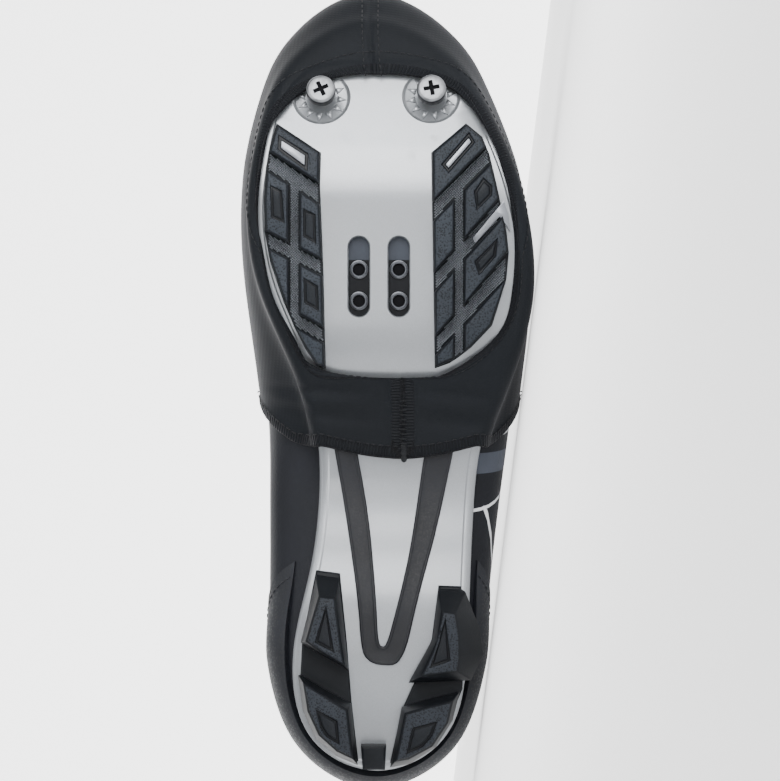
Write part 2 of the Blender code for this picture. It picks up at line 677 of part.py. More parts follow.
def toe_stud(name, x_share, y_share, turn):
    """Screwed stud: a shank that the hem clears, under a pan head with a cross recess."""
    rings = ((0.0, STUD_SHANK / 2), (STUD_HEIGHT - STUD_HEAD_HEIGHT, STUD_SHANK / 2),
             (STUD_HEIGHT - STUD_HEAD_HEIGHT, STUD_HEAD / 2), (STUD_HEIGHT - 0.0022, STUD_HEAD / 2),
             (STUD_HEIGHT - 0.0008, 0.43 * STUD_HEAD), (STUD_HEIGHT, 0.30 * STUD_HEAD))
    levels = []
    for height, radius in rings:
        outline = [(radius * math.cos(math.tau * i / 24), radius * math.sin(math.tau * i / 24)) for i in range(24)]
        levels.append((outline, height))
    stud = add_object(name, stack(levels), "stud_steel")
    for k in range(2):
        arm = box((0, 0), (CROSS_LENGTH, CROSS_WIDTH), STUD_HEIGHT - CROSS_DEPTH, STUD_HEIGHT + CROSS_DEPTH)
        bmesh.ops.rotate(arm, verts=arm.verts, cent=(0, 0, 0), matrix=Matrix.Rotation(turn + k * math.pi / 2, 3, "Z"))
        tool = helper(name + "_cross", arm)
        tool.parent = stud
        boolean(stud, "DIFFERENCE", tool)
    place_on_underside(stud, x_share, y_share, STUD_RECESS_DEPTH - GAP)
    return stud


def real(outline):
    """Outline in metres from shares of the shoe's length and ball width."""
    return [Vector((x * SHOE_LENGTH, y * BALL_WIDTH)) for x, y in outline]


def cut_outline(outline, point, across, offset):
    """Keeps the part of an outline on the far side of a line."""
    kept = []
    for i, here in enumerate(outline):
        there = outline[(i + 1) % len(outline)]
        depth = (here - point).dot(across) - offset
        after = (there - point).dot(across) - offset
        if depth >= 0:
            kept.append(here)
        if depth * after < 0:
            kept.append(here.lerp(there, depth / (depth - after)))
    return kept


def shrink(outline, distance):
    """Moves each side of an outline inwards."""
    area = sum(a.cross(b) for a, b in zip(outline, outline[1:] + outline[:1]))
    turn = 1 if area > 0 else -1
    moved = []
    for i, corner in enumerate(outline):
        before = (corner - outline[i - 1]).normalized()
        after = (outline[(i + 1) % len(outline)] - corner).normalized()
        inwards = Vector((-before.y - after.y, before.x + after.x)) * turn
        if inwards.length < 1e-6:
            inwards = Vector((-before.y, before.x)) * turn
        inwards.normalize()
        side = Vector((-before.y, before.x)) * turn
        moved.append(corner + inwards * distance / max(inwards.dot(side), 0.5))
    return moved


def tidy(outline, least):
    """Drops corners that lie closer together than the least side."""
    kept = []
    for corner in outline:
        if all((corner - other).length > least for other in kept):
            kept.append(corner)
    return kept


def parted_lugs(pad, channels, split, outer_side, whole_rows):
    """Cuts a pad into lugs along its diagonal channels and one lengthwise channel."""
    outline = real(pad)
    lines = []
    for first, final, width in channels:
        a, b = real((first, final))
        along = (b - a).normalized()
        across = Vector((-along.y, along.x))
        if across.x > 0:
            across = -across
        lines.append((a, across, width / 2))
    place, width = split
    middle = Vector((0, place * BALL_WIDTH))
    sideways = Vector((0, outer_side))
    lugs = []
    for row in range(len(lines) + 1):
        band = outline
        if row > 0:
            point, across, half = lines[row - 1]
            band = cut_outline(band, point, across, half)
        if row < len(lines):
            point, across, half = lines[row]
            band = cut_outline(band, point, -across, half)
        if row in whole_rows:
            lugs.append(band)
        else:
            lugs.append(cut_outline(band, middle, sideways, width / 2))
            lugs.append(cut_outline(band, middle, -sideways, width / 2))
    return [shrink(tidy(lug, LUG_LEAST_SIDE), 0.0002) for lug in lugs]


def scaled(outline, share_x, share_y):
    centre = sum(outline, Vector((0, 0))) / len(outline)
    return [Vector((centre.x + (p.x - centre.x) * share_x, centre.y + (p.y - centre.y) * share_y)) for p in outline]


def join_shapes(shapes):
    """One bmesh that holds several separate closed forms."""
    whole = bmesh.new()
    for shape in shapes:
        mesh = bpy.data.meshes.new("form")
        shape.to_mesh(mesh)
        shape.free()
        whole.from_mesh(mesh)
        bpy.data.meshes.remove(mesh)
    return whole


def tread(name, base, base_depth, lugs, finish):
    """Rubber tread: lugs fused to a thin base in the flat, then bent onto the plate."""
    flat = add_object(name + "_flat", stack([(base, 0.0), (base, base_depth)]))
    boolean(flat, "UNION", helper(name + "_lugs", join_shapes(lugs)))
    shape = evaluated_shape(flat)
    bpy.data.objects.remove(flat, do_unlink=True)
    bend_under(shape)
    return add_object(name, shape, finish)


def bend_under(shape):
    """Cuts a flat form across at even steps and hangs it under the plate's lower face."""
    low = min(vert.co.x for vert in shape.verts)
    high = max(vert.co.x for vert in shape.verts)
    steps = int((high - low) / BEND_STEP)
    for i in range(1, steps + 1):
        every = list(shape.verts) + list(shape.edges) + list(shape.faces)
        bmesh.ops.bisect_plane(shape, geom=every, dist=1e-6, plane_no=(1, 0, 0),
                               plane_co=(low + (high - low) * i / (steps + 1), 0, 0))
    for vert in shape.verts:
        vert.co.z = underside(vert.co.x) - GAP - vert.co.z
    bmesh.ops.remove_doubles(shape, verts=shape.verts, dist=1e-6)
    bmesh.ops.triangulate(shape, faces=shape.faces)


def forefoot_tread(name, pad, channels, split, outer_side, whole_rows, windows):
    """Forefoot pad: some of its lugs have a shallow window in their top."""
    top = TREAD_BASE + LUG_HEIGHT
    lugs = []
    for place, outline in enumerate(parted_lugs(pad, channels, split, outer_side, whole_rows)):
        levels = [(outline, 0.5 * TREAD_BASE),
                  (shrink(outline, 0.3 * LUG_CHAMFER), top - LUG_CHAMFER),
                  (shrink(outline, 1.3 * LUG_CHAMFER), top)]
        if place in windows:
            levels += [(scaled(outline, 0.52, 0.42), top), (scaled(outline, 0.48, 0.36), top - WINDOW_DEPTH)]
        lugs.append(stack(levels))
    return tread(name, real(pad), TREAD_BASE, lugs, "tread_rubber")


def heel_tread(name, base, lug_levels):
    lugs = []
    for at_plate, widest, ground in lug_levels:
        ground = real(ground)
        lugs.append(stack([(real(at_plate), 0.5 * HEEL_BASE), (real(widest), 0.30 * HEEL_LUG_HEIGHT),
                           (ground, HEEL_LUG_HEIGHT - HEEL_LUG_CHAMFER),
                           (shrink(ground, HEEL_LUG_CHAMFER), HEEL_LUG_HEIGHT),
                           (scaled(ground, 0.52, 0.50), HEEL_LUG_HEIGHT),
                           (scaled(ground, 0.48, 0.46), HEEL_LUG_HEIGHT - WINDOW_DEPTH)]))
    return tread(name, real(base), HEEL_BASE, lugs, "heel_rubber")


def plain_pad(name, outline, depth, edge, finish):
    """Flat moulding with a small edge break, bent onto the plate."""
    outline = real(outline)
    shape = stack([(outline, 0.0), (outline, depth - edge), (shrink(outline, edge), depth)])
    bend_under(shape)
    return add_object(name, shape, finish)


def opening_curve():
    """Closed edge of the toe cover's opening, by share of its way round one side."""
    x = [row[0] * SHOE_LENGTH for row in OPENING]
    inner = [row[1] * BALL_WIDTH for row in OPENING]
    outer = [row[2] * BALL_WIDTH for row in OPENING]
    return round_loop(x, x), round_loop(inner, outer)


def under_gap(x):
    """Clearance of the toe cover under the plate: it passes over the inlay at the back."""
    share = min(max((x / SHOE_LENGTH - 0.435) / 0.06, 0), 1)
    return BAND_CLEARANCE + (SKIN_GAP - BAND_CLEARANCE) * share * share * (3 - 2 * share)


def cover_point(t, v, distance):
    """Point outside the upper, the same from both sides on the ridge."""
    point = last.outside(t, v, distance)
    if v == PROFILE[-1]:
        point = (point + last.outside(LOOP_ROWS - t, v, distance)) / 2
    return point


def cover_column(waist_t, sole_t, goal):
    """Profile of the toe cover, from the ridge round the sole's edge to its hem."""
    crown = 0.3 * COVER_WALL
    column = []
    for v in PROFILE[:0:-1]:
        lean = min(1.5 * max(1 - v, 0), 1)
        t = waist_t + (sole_t - waist_t) * lean
        column.append((cover_point(t, v, SKIN_GAP + COVER_WALL), cover_point(t, v, SKIN_GAP), crown))
    turn = last.sole(sole_t, PLATE_CHAMFER)
    outer = last.sole(sole_t, -SKIN_GAP - COVER_WALL)
    inner = last.sole(sole_t, -SKIN_GAP)
    rise = 0.6 * PLATE_THICKNESS
    column.append((outer.to_3d() + Vector((0, 0, underside(outer.x) + rise)),
                   inner.to_3d() + Vector((0, 0, underside(inner.x) + rise)), crown))
    for angle in (0, 30, 60):
        points = []
        for edge, wall in ((outer, COVER_WALL), (inner, 0.0)):
            place = turn.lerp(edge, math.cos(math.radians(angle)))
            fall = (PLATE_CHAMFER + under_gap(place.x) + wall) * math.sin(math.radians(angle))
            points.append(Vector((place.x, place.y, underside(place.x) + PLATE_CHAMFER - fall)))
        column.append((*points, crown))
    length = (goal - turn).length
    hem = max(1 - HEM_WIDTH / length, 0.3)
    for share, step in ((0.0, 0), (hem, 0), (hem + 0.1, 1), (1.0, 1)):
        reach = math.sin(share * math.pi / 2)
        x = turn.x + (goal.x - turn.x) * reach
        y = turn.y + (goal.y - turn.y) * share
        inside = Vector((x, y, underside(x) - under_gap(x)))
        column.append((inside - Vector((0, 0, COVER_WALL + step * HEM_STEP)), inside, crown))
    return column


def overshoe():
    """Neoprene toe cover over the front of the shoe, open behind and under the forefoot."""
    edge_x, edge_y = opening_curve()
    pace = level_curve([(place, row[3]) for place, row in enumerate(OPENING)])
    first = OPENING[0][3]
    stops = []
    for share in (0, 0.33, 0.67):
        waist_row = COVER_REAR_ROW + (first - COVER_REAR_ROW) * share
        sole_row = BAND_REAR_ROW + (first - BAND_REAR_ROW) * share
        x = (BAND_REAR + (OPENING[0][0] - BAND_REAR) * share) * SHOE_LENGTH
        middle = Vector((x, BAND_MIDDLE * BALL_WIDTH))
        stops.append((waist_row, sole_row, middle, middle))
    final = len(OPENING) - 1
    for place in spread(0, 9, 19)[:-1] + spread(9, final, 7):
        row = pace(place)
        medial = Vector((edge_x(place), edge_y(place)))
        lateral = Vector((edge_x(-place), edge_y(-place)))
        stops.append((row, row, medial, lateral))
    columns = [cover_column(waist_row, sole_row, medial) for waist_row, sole_row, medial, _ in stops]
    for waist_row, sole_row, _, lateral in reversed(stops[:-1]):
        columns.append(cover_column(LOOP_ROWS - waist_row, LOOP_ROWS - sole_row, lateral))
    return add_object("overshoe", thicken(surface(columns, closed=False)), "neoprene")


def lay_on_side(pieces):
    """Parents the shoe to an empty, turns it onto its lateral side and centres it."""
    carrier = bpy.data.objects.new("lying_shoe", None)
    bpy.context.scene.collection.objects.link(carrier)
    for piece in pieces:
        piece.parent = carrier
    turned = Matrix.Rotation(YAW, 4, "Y") @ Matrix.Rotation(ROLL - math.pi / 2, 4, "X")
    carrier.matrix_world = turned
    bpy.context.view_layer.update()
    corners = [piece.matrix_world @ vert.co for piece in pieces for vert in piece.data.vertices]
    low = [min(corner[k] for corner in corners) for k in range(3)]
    high = [max(corner[k] for corner in corners) for k in range(3)]
    shift = Vector((-(low[0] + high[0]) / 2, -(low[1] + high[1]) / 2, -low[2]))
    carrier.matrix_world = Matrix.Translation(shift) @ turned


def build():
    clear_scene()
    upper()
    heel_counter()
    insole()
    sole_plate()
    cleat_nut_plate()
    plain_pad("wishbone_inlay", WISHBONE, INLAY_THICKNESS, 0.0003, "inlay_plastic")
    forefoot_tread("tread_medial", MEDIAL_PAD, MEDIAL_CHANNELS, MEDIAL_SPLIT, -1, (0, 3), (0, 1, 2, 4))
    forefoot_tread("tread_lateral", LATERAL_PAD, LATERAL_CHANNELS, LATERAL_SPLIT, 1, (0,), (0, 1, 3))
    heel_tread("heel_tread_medial", HEEL_MEDIAL_BASE, HEEL_MEDIAL_LUGS)
    heel_tread("heel_tread_lateral", HEEL_LATERAL_BASE, HEEL_LATERAL_LUGS)
    plain_pad("heel_bumper", BUMPER, BUMPER_HEIGHT, 0.0010, "heel_rubber")
    for name, x_share, y_share, turn in STUDS:
        toe_stud(name, x_share, y_share, turn)
    overshoe()
    lay_on_side([item for item in bpy.data.objects if item.parent is None])


build()
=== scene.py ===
import math

import bmesh
import bpy
import numpy as np
from mathutils import Matrix, Vector


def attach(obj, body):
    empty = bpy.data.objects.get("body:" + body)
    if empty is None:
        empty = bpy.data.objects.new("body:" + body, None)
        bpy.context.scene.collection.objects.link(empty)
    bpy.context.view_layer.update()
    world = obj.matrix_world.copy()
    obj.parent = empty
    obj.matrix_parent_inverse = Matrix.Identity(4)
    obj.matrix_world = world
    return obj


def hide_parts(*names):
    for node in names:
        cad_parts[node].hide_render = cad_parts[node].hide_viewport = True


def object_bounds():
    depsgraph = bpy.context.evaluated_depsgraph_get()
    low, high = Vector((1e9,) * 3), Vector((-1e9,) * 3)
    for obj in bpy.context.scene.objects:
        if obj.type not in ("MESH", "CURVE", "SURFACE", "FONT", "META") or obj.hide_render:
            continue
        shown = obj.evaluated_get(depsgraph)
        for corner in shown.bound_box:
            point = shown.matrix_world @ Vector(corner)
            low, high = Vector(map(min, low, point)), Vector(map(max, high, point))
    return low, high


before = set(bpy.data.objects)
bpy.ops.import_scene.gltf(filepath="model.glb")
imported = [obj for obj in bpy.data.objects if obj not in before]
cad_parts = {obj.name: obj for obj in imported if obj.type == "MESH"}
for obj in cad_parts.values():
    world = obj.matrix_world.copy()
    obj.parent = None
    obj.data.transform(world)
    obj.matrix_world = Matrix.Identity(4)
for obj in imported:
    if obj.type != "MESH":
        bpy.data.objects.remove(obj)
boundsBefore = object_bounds()
print("frame loaded:", len(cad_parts), "nodes")

# sizes in metres, the same as the solids'; x runs from heel to toe, y to the lateral side, z up
shoe = {
    "length": 0.282, "ballWidth": 0.098, "instepRise": 0.085, "archHeight": 0.0205, "toeSpring": 0.0185,
    "gap": 0.0003, "skinGap": 0.0006, "featherMargin": 0.004, "roundness": 1.66,
    "ballFloor": 0.0065, "heelFloor": 0.0123, "upperFloor": 0.0120,
    "roll": math.radians(1.6), "yaw": math.radians(-7.1),  # how it leans where it lies on its side
}
plate = {
    "thickness": 0.0055, "chamfer": 0.0016, "slotSpacing": 0.014, "slotWidth": 0.0073, "slotLength": 0.028,
    "slotCentre": 0.638, "studRecess": 0.0192, "recessDepth": 0.0007, "rowsPerStep": 7,
    "recessTeeth": 12, "toothLength": 0.0046, "toothWidth": 0.0030, "toothHeight": 0.0006, "toothPlace": 0.0068,
}
cover = {
    "wall": 0.0020, "crown": 0.3, "hemWidth": 0.0085, "hemStep": 0.0006, "leastHem": 0.3, "lowestProfile": 0.3,
    "bandClearance": 0.0018, "bandHem": 0.0048, "rearRow": 6.36, "bandRearRow": 5.80, "bandRear": 0.412,
    "bandSeam": 0.086, "bandStops": 15, "seamReach": 1.2, "closeFrom": 9, "closestFrom": 10.6,
    "clearanceFrom": 0.435, "clearanceRun": 0.06, "turnAngles": (0, 18, 36, 54, 72),
    # how often the grid is eased, over which of its columns and rows, and how softly that starts
    "toeEasing": {"times": 10, "reach": 42, "blend": 22, "topRow": 6, "hemRow": 9},
    "bandEasing": {"times": 14, "first": 3, "last": 36, "blend": 8, "hemRow": 4, "rowBlend": 6},
}

# height of the plate's lower face along the shoe, as shares of its length
undersideRows = (
    (0.000, shoe["heelFloor"] + 0.10 * shoe["archHeight"]),
    (0.050, shoe["heelFloor"] + 0.02 * shoe["archHeight"]),
    (0.110, shoe["heelFloor"]),
    (0.210, shoe["heelFloor"] + 0.04 * shoe["archHeight"]),
    (0.300, 0.85 * shoe["archHeight"]),
    (0.385, shoe["archHeight"]),
    (0.455, 0.85 * shoe["archHeight"]),
    (0.515, 0.53 * shoe["archHeight"]),
    (0.560, shoe["ballFloor"] + 0.02 * shoe["archHeight"]),
    (0.590, shoe["ballFloor"]),
    (0.730, shoe["ballFloor"]),
    (0.790, shoe["ballFloor"] + 0.10 * shoe["toeSpring"]),
    (0.860, shoe["ballFloor"] + 0.36 * shoe["toeSpring"]),
    (0.920, shoe["ballFloor"] + 0.66 * shoe["toeSpring"]),
    (1.000, shoe["ballFloor"] + shoe["toeSpring"]),
)

# the last, heel to toe: plate's edge, widest line of the upper, and its top
lastColumns = ("soleX", "soleIn", "soleOut",
                "waistX", "waistIn", "waistOut", "waistZ",
                "topX", "topIn", "topOut", "topZ", "lean")
lastRows = (
    (0.021, -0.005, -0.005, 0.000, -0.015, -0.015, 0.260, 0.021, -0.010, -0.010, 0.894, 90),
    (0.046, -0.199, 0.189, 0.032, -0.228, 0.208, 0.240, 0.043, -0.161, 0.145, 0.865, 90),
    (0.103, -0.296, 0.292, 0.092, -0.342, 0.322, 0.225, 0.096, -0.258, 0.245, 0.776, 86),
    (0.184, -0.304, 0.320, 0.177, -0.393, 0.380, 0.225, 0.177, -0.301, 0.299, 0.688, 78),
    (0.273, -0.248, 0.331, 0.273, -0.399, 0.412, 0.270, 0.270, -0.301, 0.316, 0.706, 68),
    (0.362, -0.217, 0.345, 0.365, -0.401, 0.445, 0.330, 0.358, -0.245, 0.281, 0.847, 48),
    (0.443, -0.224, 0.380, 0.450, -0.405, 0.478, 0.350, 0.422, 0.026, 0.026, 1.000, 0),
    (0.525, -0.286, 0.466, 0.539, -0.432, 0.508, 0.320, 0.507, 0.026, 0.026, 0.871, 0),
    (0.617, -0.398, 0.528, 0.628, -0.465, 0.530, 0.275, 0.596, 0.020, 0.020, 0.729, 0),
    (0.706, -0.447, 0.513, 0.716, -0.479, 0.516, 0.250, 0.684, 0.010, 0.010, 0.618, 0),
    (0.787, -0.429, 0.450, 0.801, -0.459, 0.461, 0.240, 0.766, -0.005, -0.005, 0.535, 0),
    (0.862, -0.378, 0.353, 0.879, -0.408, 0.380, 0.250, 0.837, -0.020, -0.020, 0.476, 0),
    (0.922, -0.270, 0.224, 0.950, -0.301, 0.255, 0.270, 0.894, -0.031, -0.031, 0.435, 0),
    (0.959, -0.033, -0.033, 1.000, -0.031, -0.031, 0.282, 0.936, -0.033, -0.033, 0.400, 0),
)
throatRow = 6
spineRows = (2, 11)
toeRow = len(lastRows) - 1
loopRows = 2 * toeRow


def bendCurve(second, values, place, count):
    low = int(math.floor(place))
    part = place - low
    first, last = low % count, (low + 1) % count
    line = values[first] + (values[last] - values[first]) * part
    sag = (2 - part) * second[first] + (1 + part) * second[last]
    return line - part * (1 - part) / 6 * sag


def loopCurve(values):
    values = np.array(values, dtype=float)
    count = len(values)
    unit = np.eye(count)
    system = 4 * unit + np.roll(unit, 1, axis=0) + np.roll(unit, -1, axis=0)
    bend = 6 * (np.roll(values, 1) - 2 * values + np.roll(values, -1))
    second = np.linalg.solve(system, bend)
    return lambda place: float(bendCurve(second, values, place % count, count))


def openCurve(values):
    values = np.array(values, dtype=float)
    count = len(values)
    system = np.eye(count)
    bend = np.zeros(count)
    for i in range(1, count - 1):
        system[i, i - 1:i + 2] = (1, 4, 1)
        bend[i] = 6 * (values[i - 1] - 2 * values[i] + values[i + 1])
    second = np.linalg.solve(system, bend)
    return lambda place: float(bendCurve(second, values, min(max(place, 0), count - 1 - 1e-9), count))


def levelCurve(rows):
    places = [row[0] for row in rows]
    values = [row[1] for row in rows]
    steps = [(values[i + 1] - values[i]) / (places[i + 1] - places[i]) for i in range(len(rows) - 1)]
    slopes = [steps[0]]
    for before, after in zip(steps, steps[1:]):
        slopes.append(2 * before * after / (before + after) if before * after > 0 else 0.0)
    slopes.append(steps[-1])

    def curve(place):
        place = min(max(place, places[0]), places[-1])
        i = min(int(np.searchsorted(places, place, side="right")) - 1, len(rows) - 2)
        width = places[i + 1] - places[i]
        part = (place - places[i]) / width
        ease = part * part * (3 - 2 * part)
        start = part * (1 - part) ** 2 * width * slopes[i]
        finish = part * part * (1 - part) * width * slopes[i + 1]
        return values[i] + (values[i + 1] - values[i]) * ease + start - finish

    return curve


undersideShare = levelCurve(undersideRows)


def underside(x):
    return undersideShare(x / shoe["length"])


def plateTop(x):
    return underside(x) + plate["thickness"]


def lastColumn(name, scale):
    place = lastColumns.index(name)
    return [row[place] * scale for row in lastRows]


def roundLoop(medial, lateral):
    return loopCurve(medial + lateral[-2:0:-1])


def hermite(start, leave, finish, arrive, part):
    square, cube = part * part, part ** 3
    return (start * (2 * cube - 3 * square + 1) + leave * (cube - 2 * square + part)
            + finish * (3 * square - 2 * cube) + arrive * (cube - square))


class Last:  # surface of the upper, from the plate's edge to the collar or the ridge
    def __init__(self):
        soleX = lastColumn("soleX", shoe["length"])
        waistX = lastColumn("waistX", shoe["length"])
        waistZ = lastColumn("waistZ", shoe["instepRise"])
        self.soleX = roundLoop(soleX, soleX)
        self.soleY = roundLoop(lastColumn("soleIn", shoe["ballWidth"]), lastColumn("soleOut", shoe["ballWidth"]))
        self.waistX = roundLoop(waistX, waistX)
        self.waistY = roundLoop(lastColumn("waistIn", shoe["ballWidth"]), lastColumn("waistOut", shoe["ballWidth"]))
        self.waistZ = roundLoop(waistZ, waistZ)
        topX = lastColumn("topX", shoe["length"])
        topIn = lastColumn("topIn", shoe["ballWidth"])
        topOut = lastColumn("topOut", shoe["ballWidth"])
        topZ = lastColumn("topZ", shoe["instepRise"])
        rows = throatRow + 1
        self.collar = [roundLoop(topX[:rows], topX[:rows]),
                       roundLoop(topIn[:rows], topOut[:rows]),
                       roundLoop(topZ[:rows], topZ[:rows])]
        self.ridge = [openCurve(values[throatRow:]) for values in (topX, topIn, topZ)]
        self.lean = openCurve(lastColumn("lean", 1.0))

    def sole(self, t, inset=0.0):
        step = 0.02
        ahead = Vector((self.soleX(t + step), self.soleY(t + step)))
        behind = Vector((self.soleX(t - step), self.soleY(t - step)))
        along = (ahead - behind).normalized()
        return Vector((self.soleX(t) - along.y * inset, self.soleY(t) + along.x * inset))

    def spine(self, t):
        row = min(max(self.row(t), spineRows[0]), spineRows[1])
        return Vector((self.soleX(row), (self.soleY(row) + self.soleY(loopRows - row)) / 2))

    def row(self, t):
        t = t % loopRows
        return min(t, loopRows - t)

    def top(self, t):
        row = self.row(t)
        if row >= throatRow:
            x, y, z = (curve(row - throatRow) for curve in self.ridge)
        else:
            place = row if t % loopRows <= toeRow else -row
            x, y, z = (curve(place) for curve in self.collar)
        return Vector((x, y, shoe["upperFloor"] + z))

    def ridgeSlope(self, t):
        row = min(max(self.row(t), throatRow) - throatRow, toeRow - throatRow - 0.1)
        run = self.ridge[0](row + 0.1) - self.ridge[0](row)
        rise = self.ridge[2](row + 0.1) - self.ridge[2](row)
        return rise / run

    def point(self, t, v):
        waist = Vector((self.waistX(t), self.waistY(t), shoe["upperFloor"] + self.waistZ(t)))
        if v <= 1:
            edge = self.sole(t, shoe["featherMargin"])
            start = Vector((edge.x, edge.y, plateTop(edge.x) + shoe["skinGap"]))
            leave = Vector((waist.x - start.x, waist.y - start.y, 0))
            arrive = Vector((0, 0, waist.z - start.z))
            return hermite(start, leave * shoe["roundness"], waist, arrive * shoe["roundness"], v)
        top = self.top(t)
        across = Vector((top.x - waist.x, top.y - waist.y, 0))
        across.z = across.x * self.ridgeSlope(t)
        lean = math.radians(min(max(self.lean(self.row(t)), 0), 90)) if self.row(t) < throatRow else 0
        rise = Vector((0, 0, top.z - waist.z))
        arrive = across * math.cos(lean) + rise * math.sin(lean) * 0.6
        return hermite(waist, rise * shoe["roundness"], top, arrive * shoe["roundness"], v - 1)

    def normal(self, t, v):
        step = 0.01
        low, high = max(v - step, 0), min(v + step, 2)
        around = self.point(t + step, v) - self.point(t - step, v)
        upwards = self.point(t, high) - self.point(t, low)
        return around.cross(upwards).normalized()

    def outside(self, t, v, distance):
        return self.point(t, v) + self.normal(t, v) * distance


def spread(first, final, count):
    return [first + (final - first) * i / (count - 1) for i in range(count)]


last = Last()
profile = spread(0, 1, 7) + spread(1, 2, 13)[1:]
print("last set up:", len(lastRows), "rows")


def lyingPlace():  # from the shoe's own axes to where the solids lie, read off the nut plate
    turned = Matrix.Rotation(shoe["yaw"], 4, "Y") @ Matrix.Rotation(shoe["roll"] - math.pi / 2, 4, "X")
    back = turned.inverted()
    corners = [back @ vert.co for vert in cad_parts["cleat_nut_plate"].data.vertices]
    low, high = (Vector([pick(corner[k] for corner in corners) for k in range(3)]) for pick in (min, max))
    found = Vector(((low.x + high.x) / 2, (low.y + high.y) / 2, high.z))
    known = Vector((plate["slotCentre"] * shoe["length"], 0, shoe["upperFloor"] - shoe["gap"]))
    return Matrix.Translation(turned.to_3x3() @ (found - known)) @ turned


lying = lyingPlace()


# shapes
def surface(columns, closed):  # open skin through columns of (point, inside, crown, round the hem, from the hem)
    shape = bmesh.new()
    wall = shape.verts.layers.float.new("wall")
    inside = shape.verts.layers.float_vector.new("inside")
    crown = shape.verts.layers.float.new("crown")
    seam = shape.verts.layers.float_vector.new("seamPlace")
    grid = []
    for column in columns:
        line = []
        for point, depth, rise, *marks in column:
            vert = shape.verts.new(point)
            if isinstance(depth, Vector):
                vert[inside] = depth
            else:
                vert[wall] = depth
            vert[crown] = rise
            if marks:
                vert[seam] = (marks[0], marks[1], 1.0)
            line.append(vert)
        grid.append(line)
    pairs = list(zip(grid, grid[1:] + grid[:1])) if closed else list(zip(grid, grid[1:]))
    for left, right in pairs:
        for j in range(len(left) - 1):
            shape.faces.new((left[j], right[j], right[j + 1], left[j + 1]))
    bmesh.ops.remove_doubles(shape, verts=shape.verts, dist=2e-5)
    bmesh.ops.recalc_face_normals(shape, faces=shape.faces)
    return shape


def thicken(shape):  # gives an open skin its wall, with a crowned rim along each edge
    wall = shape.verts.layers.float["wall"]
    inside = shape.verts.layers.float_vector["inside"]
    crown = shape.verts.layers.float["crown"]
    shape.normal_update()
    skin = list(shape.faces)
    edges = [edge for edge in shape.edges if edge.is_boundary]
    inner = {}
    for vert in list(shape.verts):
        point = vert[inside] if vert[inside].length > 0 else vert.co - vert.normal * vert[wall]
        inner[vert] = shape.verts.new(point)
    middle = {}
    for vert in {vert for edge in edges for vert in edge.verts}:
        if vert[crown] > 0:
            behind = [face.calc_center_median() for face in vert.link_faces]
            away = (vert.co - sum(behind, Vector()) / len(behind)).normalized()
            middle[vert] = shape.verts.new((vert.co + inner[vert].co) / 2 + away * vert[crown])
    for edge in edges:
        loop = edge.link_loops[0]
        a, b = loop.vert, loop.link_loop_next.vert
        if a in middle and b in middle:
            shape.faces.new((b, a, middle[a], middle[b]))
            shape.faces.new((middle[b], middle[a], inner[a], inner[b]))
        else:
            shape.faces.new((b, a, inner[a], inner[b]))
    for face in skin:
        shape.faces.new([inner[vert] for vert in reversed(face.verts)])
    return shape


def stack(levels):  # closed solid through outlines at rising heights
    shape = bmesh.new()
    rings = [[shape.verts.new((x, y, height)) for x, y in outline] for outline, height in levels]
    for low, high in zip(rings, rings[1:]):
        for i in range(len(low)):
            j = (i + 1) % len(low)
            shape.faces.new((low[i], low[j], high[j], high[i]))
    shape.faces.new(rings[0][::-1])
    shape.faces.new(rings[-1])
    bmesh.ops.recalc_face_normals(shape, faces=shape.faces)
    return shape


def joinShapes(shapes):
    whole = bmesh.new()
    for shape in shapes:
        mesh = bpy.data.meshes.new("form")
        shape.to_mesh(mesh)
        shape.free()
        whole.from_mesh(mesh)
        bpy.data.meshes.remove(mesh)
    return whole


def workPiece(name, shape):  # an object in the shoe's own axes, not yet laid in its place
    mesh = bpy.data.meshes.new(name)
    shape.to_mesh(mesh)
    shape.free()
    item = bpy.data.objects.new(name, mesh)
    bpy.context.scene.collection.objects.link(item)
    return item


def cutAway(target, tool):
    step = target.modifiers.new("cut", "BOOLEAN")
    step.operation = "DIFFERENCE"
    step.solver = "EXACT"
    step.object = tool
    tool.hide_render = True


def refine(item, levels):
    step = item.modifiers.new("refine", "SUBSURF")
    step.levels = step.render_levels = levels


def roundEdges(item, width, segments=2, angle=30):
    step = item.modifiers.new("round", "BEVEL")
    step.width = width
    step.segments = segments
    step.limit_method = "ANGLE"
    step.angle_limit = math.radians(angle)
    step.harden_normals = False


def baked(item):  # the evaluated mesh in place of the object's modifiers
    mesh = bpy.data.meshes.new_from_object(item.evaluated_get(bpy.context.evaluated_depsgraph_get()))
    item.modifiers.clear()
    item.data = mesh
    return mesh


# how squarely a face looks down before it takes a crease, and how a crease fades towards its ends
creaseFall = {"gain": 2, "least": 0.4, "start": 0.02, "reach": 0.96, "power": 0.6}


